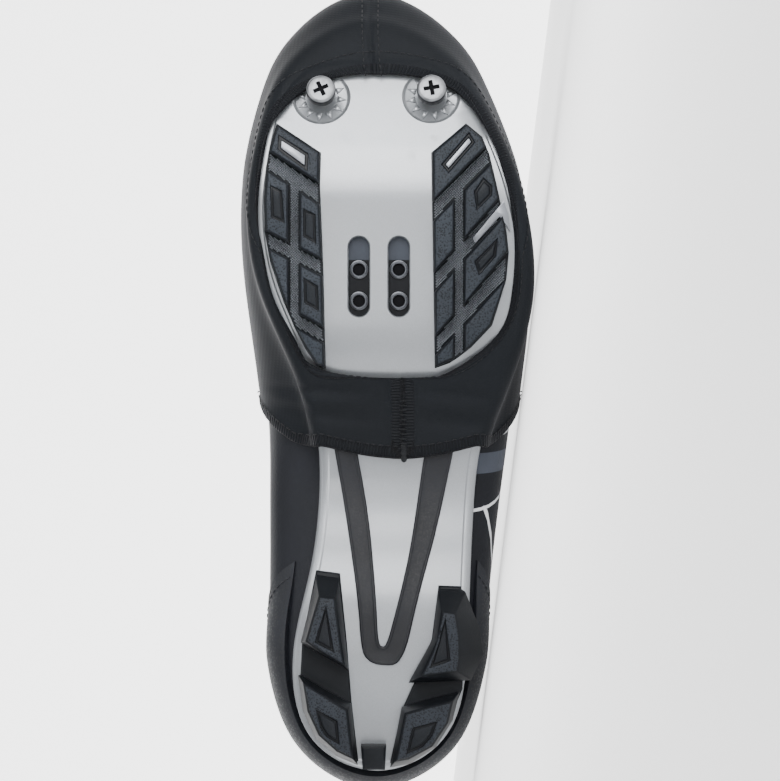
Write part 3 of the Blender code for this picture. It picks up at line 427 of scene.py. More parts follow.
def press(item, creases):  # soft troughs and ridges along lines under the shoe, given in millimetres
    mesh, fall = item.data, creaseFall
    points = np.zeros(len(mesh.vertices) * 3)
    mesh.vertices.foreach_get("co", points)
    points = points.reshape(-1, 3)
    normals = np.array([vert.normal for vert in mesh.vertices])
    marks = np.zeros(len(mesh.vertices) * 3)
    mesh.attributes["seamPlace"].data.foreach_get("vector", marks)
    outer = (marks.reshape(-1, 3)[:, 2] > 0.5) * np.clip(-normals[:, 2] * fall["gain"] - fall["least"], 0, 1)
    push = np.zeros(len(points))
    for start, finish, width, depth in creases:
        start, finish = (np.array(end) * 0.001 for end in (start, finish))
        line = finish - start
        share = np.clip((points[:, :2] - start) @ line / (line @ line), 0, 1)
        away = np.linalg.norm(points[:, :2] - start - share[:, None] * line, axis=1)
        fade = np.sin(np.pi * np.clip(share * fall["reach"] + fall["start"], 0, 1)) ** fall["power"]
        push += depth * 0.001 * fade * np.exp(-(away / (width * 0.001)) ** 2)
    points = points + normals * (push * outer)[:, None]
    mesh.vertices.foreach_set("co", points.ravel())
    mesh.update()


def settle(item, material, slotName, *nodes, smooth=180):
    mesh = baked(item)
    points = np.zeros(len(mesh.vertices) * 3)
    mesh.vertices.foreach_get("co", points)
    place = mesh.attributes.new("shoePlace", "FLOAT_VECTOR", "POINT")
    place.data.foreach_set("vector", points)
    mesh.transform(lying)
    mesh.materials.clear()
    mesh.materials.append(material)
    mesh.shade_smooth()
    if smooth < 180:
        mesh.set_sharp_from_angle(angle=math.radians(smooth))
    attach(item, "root")
    if nodes:
        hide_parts(*nodes)
    return item


# repeated pieces
def put(tree, kind, fields=(), values=(), wires=()):  # a node with its fields, socket values and incoming wires
    node = tree.nodes.new(kind)
    for field, value in dict(fields).items():
        setattr(node, field, value)
    for socket, value in dict(values).items():
        node.inputs[socket].default_value = value
    for socket, source in dict(wires).items():
        tree.links.new(source, node.inputs[socket])
    return node


def treeOf(kind, name, inputs, outputs):  # an empty node group with its named sockets
    tree = bpy.data.node_groups.new(name, kind)
    for label, socketKind, value in inputs:
        socket = tree.interface.new_socket(label, in_out="INPUT", socket_type=socketKind)
        if value is not None:
            socket.default_value = value
    for label, socketKind in outputs:
        tree.interface.new_socket(label, in_out="OUTPUT", socket_type=socketKind)
    return tree, tree.nodes.new("NodeGroupInput"), tree.nodes.new("NodeGroupOutput")


shapeIn, shapeOut = ("Geometry", "NodeSocketGeometry", None), ("Geometry", "NodeSocketGeometry")
sizeInputs = (("Length", "NodeSocketFloat", 0.0016), ("Width", "NodeSocketFloat", 0.0005),
              ("Height", "NodeSocketFloat", 0.0004), ("Material", "NodeSocketMaterial", None))


def sizesOf(tree, given):
    axes = {"X": "Length", "Y": "Width", "Z": "Height"}
    wires = {axis: given.outputs[label] for axis, label in axes.items()}
    return put(tree, "ShaderNodeCombineXYZ", wires=wires).outputs["Vector"]


def facing(tree, given, out, points, shape, scale, along):  # sets a shape on points by their own axes
    upwards = put(tree, "GeometryNodeInputNamedAttribute", {"data_type": "FLOAT_VECTOR"}, {"Name": "upwards"})
    first = put(tree, "FunctionNodeAlignRotationToVector", {"axis": "X"}, wires={"Vector": along})
    second = put(tree, "FunctionNodeAlignRotationToVector", {"axis": "Z", "pivot_axis": "X"},
                 wires={"Rotation": first.outputs["Rotation"], "Vector": upwards.outputs["Attribute"]})
    copies = put(tree, "GeometryNodeInstanceOnPoints", wires={
        "Points": points, "Instance": shape, "Rotation": second.outputs["Rotation"], "Scale": scale})
    real = put(tree, "GeometryNodeRealizeInstances", wires={"Geometry": copies.outputs["Instances"]})
    painted = put(tree, "GeometryNodeSetMaterial",
                  wires={"Geometry": real.outputs["Geometry"], "Material": given.outputs["Material"]})
    tree.links.new(painted.outputs["Geometry"], out.inputs["Geometry"])
    return tree


def makeThreadTree():  # stitches at even steps along a path
    tree, given, out = treeOf("GeometryNodeTree", "threadAlongPath",
                              (shapeIn, ("Step", "NodeSocketFloat", 0.0024), *sizeInputs), (shapeOut,))
    path = put(tree, "GeometryNodeMeshToCurve", wires={"Mesh": given.outputs["Geometry"]})
    even = put(tree, "GeometryNodeResampleCurve", {"mode": "LENGTH"},
               wires={"Curve": path.outputs["Curve"], "Length": given.outputs["Step"]})
    thread = put(tree, "GeometryNodeMeshUVSphere", values={"Segments": 8, "Rings": 5, "Radius": 0.5})
    along = put(tree, "GeometryNodeInputTangent").outputs["Tangent"]
    return facing(tree, given, out, even.outputs["Curve"], thread.outputs["Mesh"], sizesOf(tree, given), along)


def makePeakTree():  # small peaks on given points, with a fixed seed for their unevenness
    tree, given, out = treeOf("GeometryNodeTree", "peaksOnPoints", (
        shapeIn, ("Sides", "NodeSocketInt", 4), ("Top", "NodeSocketFloat", 0.12),
        ("Uneven", "NodeSocketFloat", 0.2), ("Seed", "NodeSocketInt", 4), *sizeInputs), (shapeOut,))
    points = put(tree, "GeometryNodeMeshToPoints", wires={"Mesh": given.outputs["Geometry"]})
    peak = put(tree, "GeometryNodeMeshCone", values={"Radius Bottom": 0.5, "Depth": 1.0},
               wires={"Vertices": given.outputs["Sides"], "Radius Top": given.outputs["Top"]})
    along = put(tree, "GeometryNodeInputNamedAttribute", {"data_type": "FLOAT_VECTOR"}, {"Name": "along"})
    low = put(tree, "ShaderNodeMath", {"operation": "SUBTRACT"}, {0: 1.0}, {1: given.outputs["Uneven"]})
    chance = put(tree, "FunctionNodeRandomValue", values={3: 1.0},
                 wires={2: low.outputs[0], "Seed": given.outputs["Seed"]})
    uneven = put(tree, "ShaderNodeVectorMath", {"operation": "SCALE"},
                 wires={0: sizesOf(tree, given), "Scale": chance.outputs[1]})
    return facing(tree, given, out, points.outputs["Points"], peak.outputs["Mesh"], uneven.outputs["Vector"],
                  along.outputs["Attribute"])


threadTree = makeThreadTree()
peakTree = makePeakTree()


def repeat(name, tree, points, upwards, alongs, settings, material, slotName, linked=False):
    mesh = bpy.data.meshes.new(name)
    edges = [(i, i + 1) for i in range(len(points) - 1)] if linked else []
    mesh.from_pydata([tuple(point) for point in points], edges, [])
    for label, values in (("upwards", upwards), ("along", alongs)):
        if values is not None:
            layer = mesh.attributes.new(label, "FLOAT_VECTOR", "POINT")
            layer.data.foreach_set("vector", np.array([tuple(value) for value in values]).ravel())
    item = bpy.data.objects.new(name, mesh)
    bpy.context.scene.collection.objects.link(item)
    step = item.modifiers.new("repeat", "NODES")
    step.node_group = tree
    keys = {socket.name: socket.identifier for socket in tree.interface.items_tree if socket.in_out == "INPUT"}
    for label, value in {**settings, "Material": material}.items():
        step[keys[label]] = value
    return settle(item, material, slotName)


# shared effects
def blend(tree, factor, first, second):  # colours or values mixed by a factor
    coloured = any(isinstance(value, tuple) or getattr(value, "type", "") == "RGBA" for value in (first, second))
    kind = "RGBA" if coloured else "FLOAT"
    node = put(tree, "ShaderNodeMix", {"data_type": kind})
    sockets = {"FLOAT": (2, 3, 0), "RGBA": (6, 7, 2)}[kind]
    tree.links.new(factor, node.inputs[0])
    for socket, value in zip(sockets, (first, second)):
        if isinstance(value, bpy.types.NodeSocket):
            tree.links.new(value, node.inputs[socket])
        else:
            node.inputs[socket].default_value = value
    return node.outputs[sockets[2]]


def band(tree, value, low, high, toLow=0.0, toHigh=1.0):
    node = put(tree, "ShaderNodeMapRange", {"interpolation_type": "SMOOTHSTEP"},
               {"From Min": low, "From Max": high, "To Min": toLow, "To Max": toHigh}, {"Value": value})
    return node.outputs["Result"]


def sums(tree, operation, first, second=None):
    node = put(tree, "ShaderNodeMath", {"operation": operation})
    for socket, value in zip(node.inputs, (first, second)):
        if isinstance(value, bpy.types.NodeSocket):
            tree.links.new(value, socket)
        elif value is not None:
            socket.default_value = value
    return node.outputs[0]


vectorIn = ("Vector", "NodeSocketVector", None)
scaleIn = ("Scale", "NodeSocketFloat", 1000.0)
heightOut, toneOut = ("Height", "NodeSocketFloat"), ("Tone", "NodeSocketFloat")


def makeGrain():  # pitted grain of moulded rubber and leathery coatings
    tree, given, out = treeOf("ShaderNodeTree", "grain", (vectorIn, scaleIn, ("Fine", "NodeSocketFloat", 0.4)),
                              (heightOut, toneOut))
    where, scale = given.outputs["Vector"], given.outputs["Scale"]
    cells = put(tree, "ShaderNodeTexVoronoi", wires={"Vector": where, "Scale": scale})
    finer = sums(tree, "MULTIPLY", scale, 2.3)
    dust = put(tree, "ShaderNodeTexNoise", values={"Detail": 3.0}, wires={"Vector": where, "Scale": finer})
    height = blend(tree, given.outputs["Fine"], cells.outputs["Distance"], dust.outputs[0])
    tree.links.new(height, out.inputs["Height"])
    tree.links.new(band(tree, height, 0.15, 0.62), out.inputs["Tone"])
    return tree


def makeKnit():  # rows of small loops, wales crossing courses
    tree, given, out = treeOf("ShaderNodeTree", "knit", (vectorIn, scaleIn), (heightOut,))
    waves = []
    for direction, stretch in (("X", 1.0), ("Z", 0.72)):
        pitch = sums(tree, "MULTIPLY", given.outputs["Scale"], stretch)
        wave = put(tree, "ShaderNodeTexWave", {"bands_direction": direction}, {"Distortion": 0.6, "Detail": 1.0},
                   {"Vector": given.outputs["Vector"], "Scale": pitch})
        waves.append(wave.outputs[0])
    tree.links.new(sums(tree, "MULTIPLY", *waves), out.inputs["Height"])
    return tree


def makeWear():  # slow change of tone, and faint scuffs
    tree, given, out = treeOf("ShaderNodeTree", "wear", (
        vectorIn, ("Scale", "NodeSocketFloat", 30.0), ("Low", "NodeSocketFloat", 0.9),
        ("High", "NodeSocketFloat", 1.1)), (toneOut, ("Scuff", "NodeSocketFloat")))
    where, scale = given.outputs["Vector"], given.outputs["Scale"]
    slow = put(tree, "ShaderNodeTexNoise", values={"Detail": 2.0}, wires={"Vector": where, "Scale": scale})
    tone = put(tree, "ShaderNodeMapRange", values={"From Min": 0.3, "From Max": 0.7},
               wires={"Value": slow.outputs[0], "To Min": given.outputs["Low"], "To Max": given.outputs["High"]})
    streak = put(tree, "ShaderNodeTexNoise", values={"Detail": 5.0, "Roughness": 0.7},
                 wires={"Vector": where, "Scale": sums(tree, "MULTIPLY", scale, 9.0)})
    tree.links.new(tone.outputs[0], out.inputs["Tone"])
    tree.links.new(band(tree, streak.outputs[0], 0.55, 0.78), out.inputs["Scuff"])
    return tree


def makePrintedLine():  # mask of a straight printed line or band, seen from the side of the shoe
    tree, given, out = treeOf("ShaderNodeTree", "printedLine", (
        ("Place", "NodeSocketVector", None), ("From", "NodeSocketVector", None), ("To", "NodeSocketVector", None),
        ("Half Width", "NodeSocketFloat", 0.0005)), (("Mask", "NodeSocketFloat"),))

    def vector(operation, first, second):
        return put(tree, "ShaderNodeVectorMath", {"operation": operation}, wires={0: first, 1: second})

    flat = put(tree, "ShaderNodeVectorMath", {"operation": "MULTIPLY"}, {1: (1, 0, 1)}, {0: given.outputs["Place"]})
    reach = vector("SUBTRACT", flat.outputs[0], given.outputs["From"])
    line = vector("SUBTRACT", given.outputs["To"], given.outputs["From"])
    onLine = vector("DOT_PRODUCT", reach.outputs[0], line.outputs[0])
    whole = vector("DOT_PRODUCT", line.outputs[0], line.outputs[0])
    share = put(tree, "ShaderNodeMath", {"operation": "DIVIDE", "use_clamp": True},
                wires={0: onLine.outputs["Value"], 1: whole.outputs["Value"]})
    foot = put(tree, "ShaderNodeVectorMath", {"operation": "SCALE"},
               wires={0: line.outputs[0], "Scale": share.outputs[0]})
    away = vector("DISTANCE", reach.outputs[0], foot.outputs[0])
    inLine = sums(tree, "SUBTRACT", given.outputs["Half Width"], away.outputs["Value"])
    tree.links.new(band(tree, inLine, -0.0001, 0.0001), out.inputs["Mask"])
    return tree


grain, knit, wear, printedLine = makeGrain(), makeKnit(), makeWear(), makePrintedLine()


def material(name, values):
    made = bpy.data.materials.new(name)
    made.use_nodes = True
    tree = made.node_tree
    shader = tree.nodes["Principled BSDF"]
    for socket, value in values.items():
        shader.inputs[socket].default_value = (*value, 1.0) if isinstance(value, tuple) else value
    made.diffuse_color = (*values.get("Base Color", (0.2, 0.2, 0.2)), 1.0)
    place = put(tree, "ShaderNodeTexCoord").outputs["Object"]
    return made, tree, shader, place


def use(tree, group, values=(), wires=()):
    return put(tree, "ShaderNodeGroup", {"node_tree": group}, values, wires)


def toned(tree, colour, tone):  # a colour made darker or lighter by a value
    node = put(tree, "ShaderNodeVectorMath", {"operation": "SCALE"}, wires={"Scale": tone})
    if isinstance(colour, bpy.types.NodeSocket):
        tree.links.new(colour, node.inputs[0])
    else:
        node.inputs[0].default_value = colour
    return node.outputs[0]


def bump(tree, shader, height, distance, strength=1.0, before=None):
    node = put(tree, "ShaderNodeBump", values={"Strength": strength, "Distance": distance}, wires={"Height": height})
    if before is not None:
        tree.links.new(before, node.inputs["Normal"])
    tree.links.new(node.outputs["Normal"], shader.inputs["Normal"])
    return node.outputs["Normal"]


def mouldedRubber(name, colour, roughness, grainScale, depth):
    made, tree, shader, place = material(name, {"Base Color": colour, "Roughness": roughness,
                                                "Specular IOR Level": 0.3})
    pits = use(tree, grain, {"Scale": grainScale, "Fine": 0.35}, {"Vector": place})
    tone = use(tree, wear, {"Scale": 60.0, "Low": 0.85, "High": 1.2}, {"Vector": place})
    speckle = sums(tree, "MULTIPLY", band(tree, pits.outputs["Tone"], 0.0, 1.0, 0.75, 1.35), tone.outputs["Tone"])
    tree.links.new(toned(tree, colour, speckle), shader.inputs["Base Color"])
    rough = band(tree, pits.outputs["Tone"], 0.0, 1.0, roughness - 0.1, roughness + 0.15)
    tree.links.new(rough, shader.inputs["Roughness"])
    bump(tree, shader, pits.outputs["Height"], depth)
    return made


def smoothPlastic(name, colour, roughness, shine):
    made, tree, shader, place = material(name, {"Base Color": colour, "Roughness": roughness,
                                                "Coat Roughness": 0.12, **shine})
    tone = use(tree, wear, {"Scale": 35.0, "Low": 0.96, "High": 1.04}, {"Vector": place})
    tree.links.new(toned(tree, colour, tone.outputs["Tone"]), shader.inputs["Base Color"])
    rough = band(tree, tone.outputs["Scuff"], 0.0, 1.0, roughness, roughness + 0.12)
    tree.links.new(rough, shader.inputs["Roughness"])
    peel = use(tree, grain, {"Scale": 900.0, "Fine": 0.8}, {"Vector": place})
    bump(tree, shader, peel.outputs["Height"], 0.00003, 0.5)
    return made


# toe cover
coverLook = {
    "colour": (0.0042, 0.0054, 0.0074), "hem": (0.0032, 0.0040, 0.0056), "roughness": 0.62, "knitScale": 340.0,
    "ribPitch": 0.0011, "ribDepth": 0.00014, "rearHem": 0.0042, "toeSeamHalf": 0.0028,
    # height and width of each ridge or groove along a seam or hem, and where the toe seam dies out on top
    "seamRidge": (0.00022, 0.0022), "seamGroove": (0.00050, 0.0008), "seamStart": 0.006, "seamFade": 0.008,
    "hemGroove": (0.0007, 0.0009), "rearGroove": (0.00030, 0.0007), "rearLift": 0.00035,
    # creases in millimetres: start, finish, width and height
    "creases": (((141, -40), (139, -4), 1.9, -0.70), ((137.5, -40), (135, 0), 1.8, 0.45),
                ((133, -38), (129, -2), 2.2, -0.60), ((140, 12), (137, 42), 1.9, -0.65),
                ((135.5, 12), (132, 43), 2.0, 0.42), ((130, 12), (127, 42), 2.4, -0.55),
                ((125, -30), (122, 4), 2.4, -0.40)),
}

# the opening's edge under the forefoot: x, medial y, lateral y, row of the last whose profile ends there
openingRows = (
    (0.512, 0.020, 0.020, 6.85),
    (0.512, -0.110, 0.125, 7.05),
    (0.517, -0.228, 0.238, 7.35),
    (0.560, -0.302, 0.412, 7.85),
    (0.610, -0.376, 0.474, 8.30),
    (0.668, -0.415, 0.488, 8.80),
    (0.725, -0.438, 0.474, 9.35),
    (0.779, -0.424, 0.436, 9.95),
    (0.828, -0.384, 0.374, 10.60),
    (0.870, -0.268, 0.272, 11.40),
    (0.889, -0.132, 0.120, 12.20),
    (0.892, -0.020, -0.020, 13.00),
)


def openingCurve():
    x = [row[0] * shoe["length"] for row in openingRows]
    inner = [row[1] * shoe["ballWidth"] for row in openingRows]
    outer = [row[2] * shoe["ballWidth"] for row in openingRows]
    return roundLoop(x, x), roundLoop(inner, outer)


def underGap(x):
    share = min(max((x / shoe["length"] - cover["clearanceFrom"]) / cover["clearanceRun"], 0), 1)
    return cover["bandClearance"] + (shoe["skinGap"] - cover["bandClearance"]) * share * share * (3 - 2 * share)


def coverPoint(t, v, distance):
    point = last.outside(t, v, distance)
    if v == profile[-1]:
        point = (point + last.outside(loopRows - t, v, distance)) / 2
    return point


def coverColumn(waistT, soleT, goal, hemWidth):  # one profile of the cover, from the ridge to its hem
    crown = cover["crown"] * cover["wall"]
    column = []
    for v in [v for v in profile if v > cover["lowestProfile"]][::-1]:
        lean = min(1.5 * max(1 - v, 0), 1)
        t = waistT + (soleT - waistT) * lean
        skins = [coverPoint(t, v, distance) for distance in (shoe["skinGap"] + cover["wall"], shoe["skinGap"])]
        column.append((*skins, crown))
    turn = last.sole(soleT, plate["chamfer"])
    outer = last.sole(soleT, -shoe["skinGap"] - cover["wall"])
    inner = last.sole(soleT, -shoe["skinGap"])
    rise = 0.6 * plate["thickness"]
    column.append((outer.to_3d() + Vector((0, 0, underside(outer.x) + rise)),
                   inner.to_3d() + Vector((0, 0, underside(inner.x) + rise)), crown))
    for angle in cover["turnAngles"]:
        points = []
        for edge, wall in ((outer, cover["wall"]), (inner, 0.0)):
            place = turn.lerp(edge, math.cos(math.radians(angle)))
            fall = (plate["chamfer"] + underGap(place.x) + wall) * math.sin(math.radians(angle))
            points.append(Vector((place.x, place.y, underside(place.x) + plate["chamfer"] - fall)))
        column.append((*points, crown))
    length = (goal - turn).length
    hem = max(1 - hemWidth / length, cover["leastHem"])
    stops = [(share, 0.0) for share in spread(0.0, hem, 7)]
    stops += [(hem + 0.12 * (1 - hem), 1.0)] + [(share, 1.0) for share in spread(hem + 0.35 * (1 - hem), 1.0, 5)]
    for share, step in stops:
        reach = math.sin(share * math.pi / 2)
        x = turn.x + (goal.x - turn.x) * reach
        y = turn.y + (goal.y - turn.y) * share
        inside = Vector((x, y, underside(x) - underGap(x)))
        column.append((inside - Vector((0, 0, cover["wall"] + step * cover["hemStep"])), inside, crown))
    return column


def eased(values, ease, before, here, after):  # each point drawn halfway to the middle of its neighbours
    return (1 - ease) * values[here] + ease / 2 * (values[before] + values[after])


def coverGrid():  # outer and inner points of the whole cover, column by column
    edgeX, edgeY = openingCurve()
    pace = levelCurve([(place, row[3]) for place, row in enumerate(openingRows)])
    rearX, seamY = openingRows[0][0], cover["bandSeam"] * shoe["ballWidth"]
    first, end, reach = openingRows[0][3], len(openingRows) - 1, cover["seamReach"]
    stops = []
    for share in spread(0, 1, cover["bandStops"])[:-1]:
        waistRow = cover["rearRow"] + (first - cover["rearRow"]) * share
        soleRow = cover["bandRearRow"] + (first - cover["bandRearRow"]) * share
        x = (cover["bandRear"] + (rearX - cover["bandRear"]) * share) * shoe["length"]
        seam = Vector((x, seamY))
        stops.append((waistRow, soleRow, seam, seam, cover["bandHem"]))
    close, closest = cover["closeFrom"], cover["closestFrom"]
    for place in spread(0, close, 64)[:-1] + spread(close, closest, 14)[:-1] + spread(closest, end, 14):
        row = pace(place)
        ends = [Vector((edgeX(side * place), edgeY(side * place))) for side in (1, -1)]
        if place < reach:  # the opening's rear edge runs to the band's seam
            seam = Vector((rearX * shoe["length"], seamY))
            ends = [point.lerp(seam, 1 - place / reach) for point in ends]
        width = cover["bandHem"] + (cover["hemWidth"] - cover["bandHem"]) * min(place / reach, 1)
        stops.append((row, row, *ends, width))
    columns = [coverColumn(waist, sole, medial, hem) for waist, sole, medial, _, hem in stops]
    for waist, sole, _, lateral, hem in reversed(stops[:-1]):
        columns.append(coverColumn(loopRows - waist, loopRows - sole, lateral, hem))
    outer, inner = (np.array([[tuple(entry[k]) for entry in column] for column in columns]) for k in (0, 1))
    middle = len(outer) // 2
    for skin in (outer, inner):  # the foremost column starts where the ridge ends
        skin[middle, 0] = 2 * skin[middle - 1, 0] - skin[middle - 2, 0]
    count, rows = outer.shape[:2]
    soft = cover["toeEasing"]
    ease = np.clip((soft["reach"] - np.abs(np.arange(count) - middle)) / soft["blend"], 0, 1)[:, None, None] * 0.5
    top, low = soft["topRow"], rows - soft["hemRow"]
    for _ in range(soft["times"]):  # round the toe, the fabric takes the turn under the sole in a soft bend
        outer[:, top:low] = eased(outer, ease, np.s_[:, top - 1:low - 1], np.s_[:, top:low],
                                  np.s_[:, top + 1:low + 1])
    soft = cover["bandEasing"]
    side = np.minimum(np.arange(count), np.arange(count)[::-1])
    ease = np.clip(np.minimum(side - soft["first"], soft["last"] - side) / soft["blend"], 0, 1)
    ease = ease[1:-1, None, None] * 0.5
    ease = ease * np.clip((rows - soft["hemRow"] - np.arange(rows)) / soft["rowBlend"], 0, 1)[None, :, None]
    for _ in range(soft["times"]):  # and the band runs softly into the sides
        outer[1:-1] = eased(outer, ease, np.s_[:-2], np.s_[1:-1], np.s_[2:])
    return outer, inner


def runs(points, axis):  # distance travelled along a grid
    steps = np.linalg.norm(np.diff(points, axis=axis), axis=2)
    return np.concatenate([np.zeros_like(np.take(steps, [0], axis=axis)), np.cumsum(steps, axis=axis)], axis=axis)


coverOuter, coverInner = coverGrid()
coverMiddle, bandCount = len(coverOuter) // 2, 17
coverOut = coverOuter - coverInner
coverOut[coverMiddle, 0] = coverOut[coverMiddle - 1, 0]  # both neighbours meet at the ridge's end
coverOut /= np.linalg.norm(coverOut, axis=2)[:, :, None]
coverDown = runs(coverOuter, 1)
fromHem = coverDown[:, -1:] - coverDown
coverRound = runs(coverOuter, 0)
fromRear = np.minimum(coverRound, coverRound[-1:] - coverRound)
fromToeSeam = np.abs(coverRound - coverRound[coverMiddle])
fromEnd = np.minimum(np.arange(len(coverOuter)), np.arange(len(coverOuter))[::-1])
inBand = fromEnd[:, None] < bandCount


def relief(distance, size):  # height of a rounded ridge at a distance from its line
    height, width = size
    return height * np.exp(-(distance / width) ** 2)


def makeCover(look):
    lift = relief(fromToeSeam - look["toeSeamHalf"], look["seamRidge"]) - relief(fromToeSeam, look["seamGroove"])
    lift = lift * np.clip((coverDown - look["seamStart"]) / look["seamFade"], 0, 1)
    lift = lift - inBand * relief(fromHem, look["hemGroove"])
    raised = look["rearLift"] * (fromRear < look["rearHem"])
    lift = lift - relief(fromRear - look["rearHem"], look["rearGroove"]) + raised
    outer = coverOuter + coverOut * lift[:, :, None]
    crown = cover["crown"] * cover["wall"]
    columns = []
    for i in range(len(outer)):
        column = []
        for j in range(outer.shape[1]):
            rear = fromRear[i, j] < fromHem[i, j]
            marks = (coverDown[i, j], fromRear[i, j]) if rear else (coverRound[i, -1], fromHem[i, j])
            column.append((Vector(outer[i, j]), Vector(coverInner[i, j]), crown, *marks))
        columns.append(column)
    item = workPiece("toeCover", thicken(surface(columns, closed=False)))
    refine(item, 1)
    baked(item)
    press(item, look["creases"])
    return settle(item, coverMaterial(look), "neoprene", "overshoe")


def coverMaterial(look):
    made, tree, shader, place = material("stretchCover", {
        "Base Color": look["colour"], "Roughness": look["roughness"], "Sheen Weight": 0.06, "Sheen Roughness": 0.4,
        "Sheen Tint": (0.62, 0.60, 0.66), "Specular IOR Level": 0.13})
    seam = put(tree, "ShaderNodeAttribute", {"attribute_name": "seamPlace"})
    marks = put(tree, "ShaderNodeSeparateXYZ", wires={0: seam.outputs["Vector"]})
    inHem = band(tree, marks.outputs["Y"], look["rearHem"], look["rearHem"] - 0.0004)
    hem = sums(tree, "MULTIPLY", inHem, marks.outputs["Z"])
    turns = sums(tree, "MULTIPLY", marks.outputs["X"], math.tau / look["ribPitch"])
    ribs = sums(tree, "MULTIPLY", sums(tree, "SINE", turns), hem)
    tone = use(tree, wear, {"Scale": 22.0, "Low": 0.82, "High": 1.18}, {"Vector": place})
    colour = blend(tree, hem, (*look["colour"], 1.0), (*look["hem"], 1.0))
    shade = sums(tree, "ADD", tone.outputs["Tone"], sums(tree, "MULTIPLY", ribs, 0.16))
    tree.links.new(toned(tree, colour, shade), shader.inputs["Base Color"])
    loops = use(tree, knit, {"Scale": look["knitScale"]}, {"Vector": place})
    first = bump(tree, shader, ribs, look["ribDepth"])
    bump(tree, shader, loops.outputs["Height"], 0.00006, 0.6, before=first)
    return made


def threadMaterial(name, colour):
    made, tree, shader, place = material(name, {"Base Color": colour, "Roughness": 0.6, "Sheen Weight": 0.05,
                                                "Specular IOR Level": 0.2})
    twist = put(tree, "ShaderNodeTexWave", {"bands_direction": "DIAGONAL"}, {"Scale": 1600.0}, {"Vector": place})
    shade = band(tree, twist.outputs[0], 0.2, 0.8, 0.75, 1.25)
    tree.links.new(toned(tree, colour, shade), shader.inputs["Base Color"])
    bump(tree, shader, twist.outputs[0], 0.00008)
    return made


def along(grid, outwards, distance, goal, axis, ends=(0, None)):  # path over a grid at an even distance from an edge
    points, normals = [], []
    lines = range(grid.shape[1 - axis])[slice(*ends)]
    for k in lines:
        line, out, away = (np.take(values, k, axis=1 - axis) for values in (grid, outwards, distance))
        for i in range(len(away) - 1):
            if (away[i] - goal) * (away[i + 1] - goal) <= 0 and away[i] != away[i + 1]:
                share = (goal - away[i]) / (away[i + 1] - away[i])
                points.append(line[i] + (line[i + 1] - line[i]) * share)
                normals.append(out[i] + (out[i + 1] - out[i]) * share)
                break
    return points, normals


def stitches(name, points, normals, settings, made, slotName):
    laid = [Vector(point) for point in points]
    turned = [Vector(normal) for normal in normals]
    return repeat(name, threadTree, laid, turned, None, settings, made, slotName, linked=True)


toeCover = makeCover(coverLook)
print("toe cover:", len(toeCover.data.polygons), "faces")


# mouldings under the plate
tread = {
    "base": 0.0012, "lugHeight": 0.0050, "lugChamfer": 0.0007, "leastSide": 0.0026, "windowDepth": 0.0008,
    "heelBase": 0.0022, "heelLugHeight": 0.0120, "heelLugChamfer": 0.0010, "bumperHeight": 0.0085,
    "bendStep": 0.0030, "rounding": 0.00035, "knurlPitch": 0.00095, "knurlHeight": 0.00045, "groove": 0.0009,
    "lugInset": 0.0002, "knurlInset": 0.0009, "knurlClear": 0.0003,
    "grooveSlope": 0.0002, "lip": 0.0001, "fieldShare": 0.3,  # the groove's outer slope, and the field inside it
    "fitTries": 20, "fitStep": 0.06, "fitMargin": 0.0005,  # how a window is drawn in until it fits its lug
}


def flatRing(t, inset, share, height):
    edge = last.sole(t, inset)
    place = edge.lerp(last.spine(t), share)
    return Vector((place.x, place.y, height(place.x)))


def real(outline):
    return [Vector((x * shoe["length"], y * shoe["ballWidth"])) for x, y in outline]


def cutOutline(outline, point, across, offset):
    kept = []
    for i, here in enumerate(outline):
        there = outline[(i + 1) % len(outline)]
        depth = (here - point).dot(across) - offset
        after = (there - point).dot(across) - offset
        if depth >= 0:
            kept.append(here)
        if depth * after < 0:
            kept.append(here.lerp(there, depth / (depth - after)))
    return kept


def shrink(outline, distance):
    area = sum(a.cross(b) for a, b in zip(outline, outline[1:] + outline[:1]))
    turn = 1 if area > 0 else -1
    moved = []
    for i, corner in enumerate(outline):
        before = (corner - outline[i - 1]).normalized()
        after = (outline[(i + 1) % len(outline)] - corner).normalized()
        inwards = Vector((-before.y - after.y, before.x + after.x)) * turn
        if inwards.length < 1e-6:
            inwards = Vector((-before.y, before.x)) * turn
        inwards.normalize()
        side = Vector((-before.y, before.x)) * turn
        moved.append(corner + inwards * distance / max(inwards.dot(side), 0.5))
    return moved


def tidy(outline, least):
    kept = []
    for corner in outline:
        if all((corner - other).length > least for other in kept):
            kept.append(corner)
    return kept


def partedLugs(pad, channels, split, outerSide, wholeRows):
    outline = real(pad)
    lines = []
    for first, final, width in channels:
        a, b = real((first, final))
        along = (b - a).normalized()
        across = Vector((-along.y, along.x))
        if across.x > 0:
            across = -across
        lines.append((a, across, width / 2))
    place, width = split
    middle = Vector((0, place * shoe["ballWidth"]))
    sideways = Vector((0, outerSide))
    lugs = []
    for row in range(len(lines) + 1):
        band = outline
        if row > 0:
            point, across, half = lines[row - 1]
            band = cutOutline(band, point, across, half)
        if row < len(lines):
            point, across, half = lines[row]
            band = cutOutline(band, point, -across, half)
        if row in wholeRows:
            lugs.append(band)
        else:
            lugs.append(cutOutline(band, middle, sideways, width / 2))
            lugs.append(cutOutline(band, middle, -sideways, width / 2))
    return [shrink(tidy(lug, tread["leastSide"]), tread["lugInset"]) for lug in lugs]


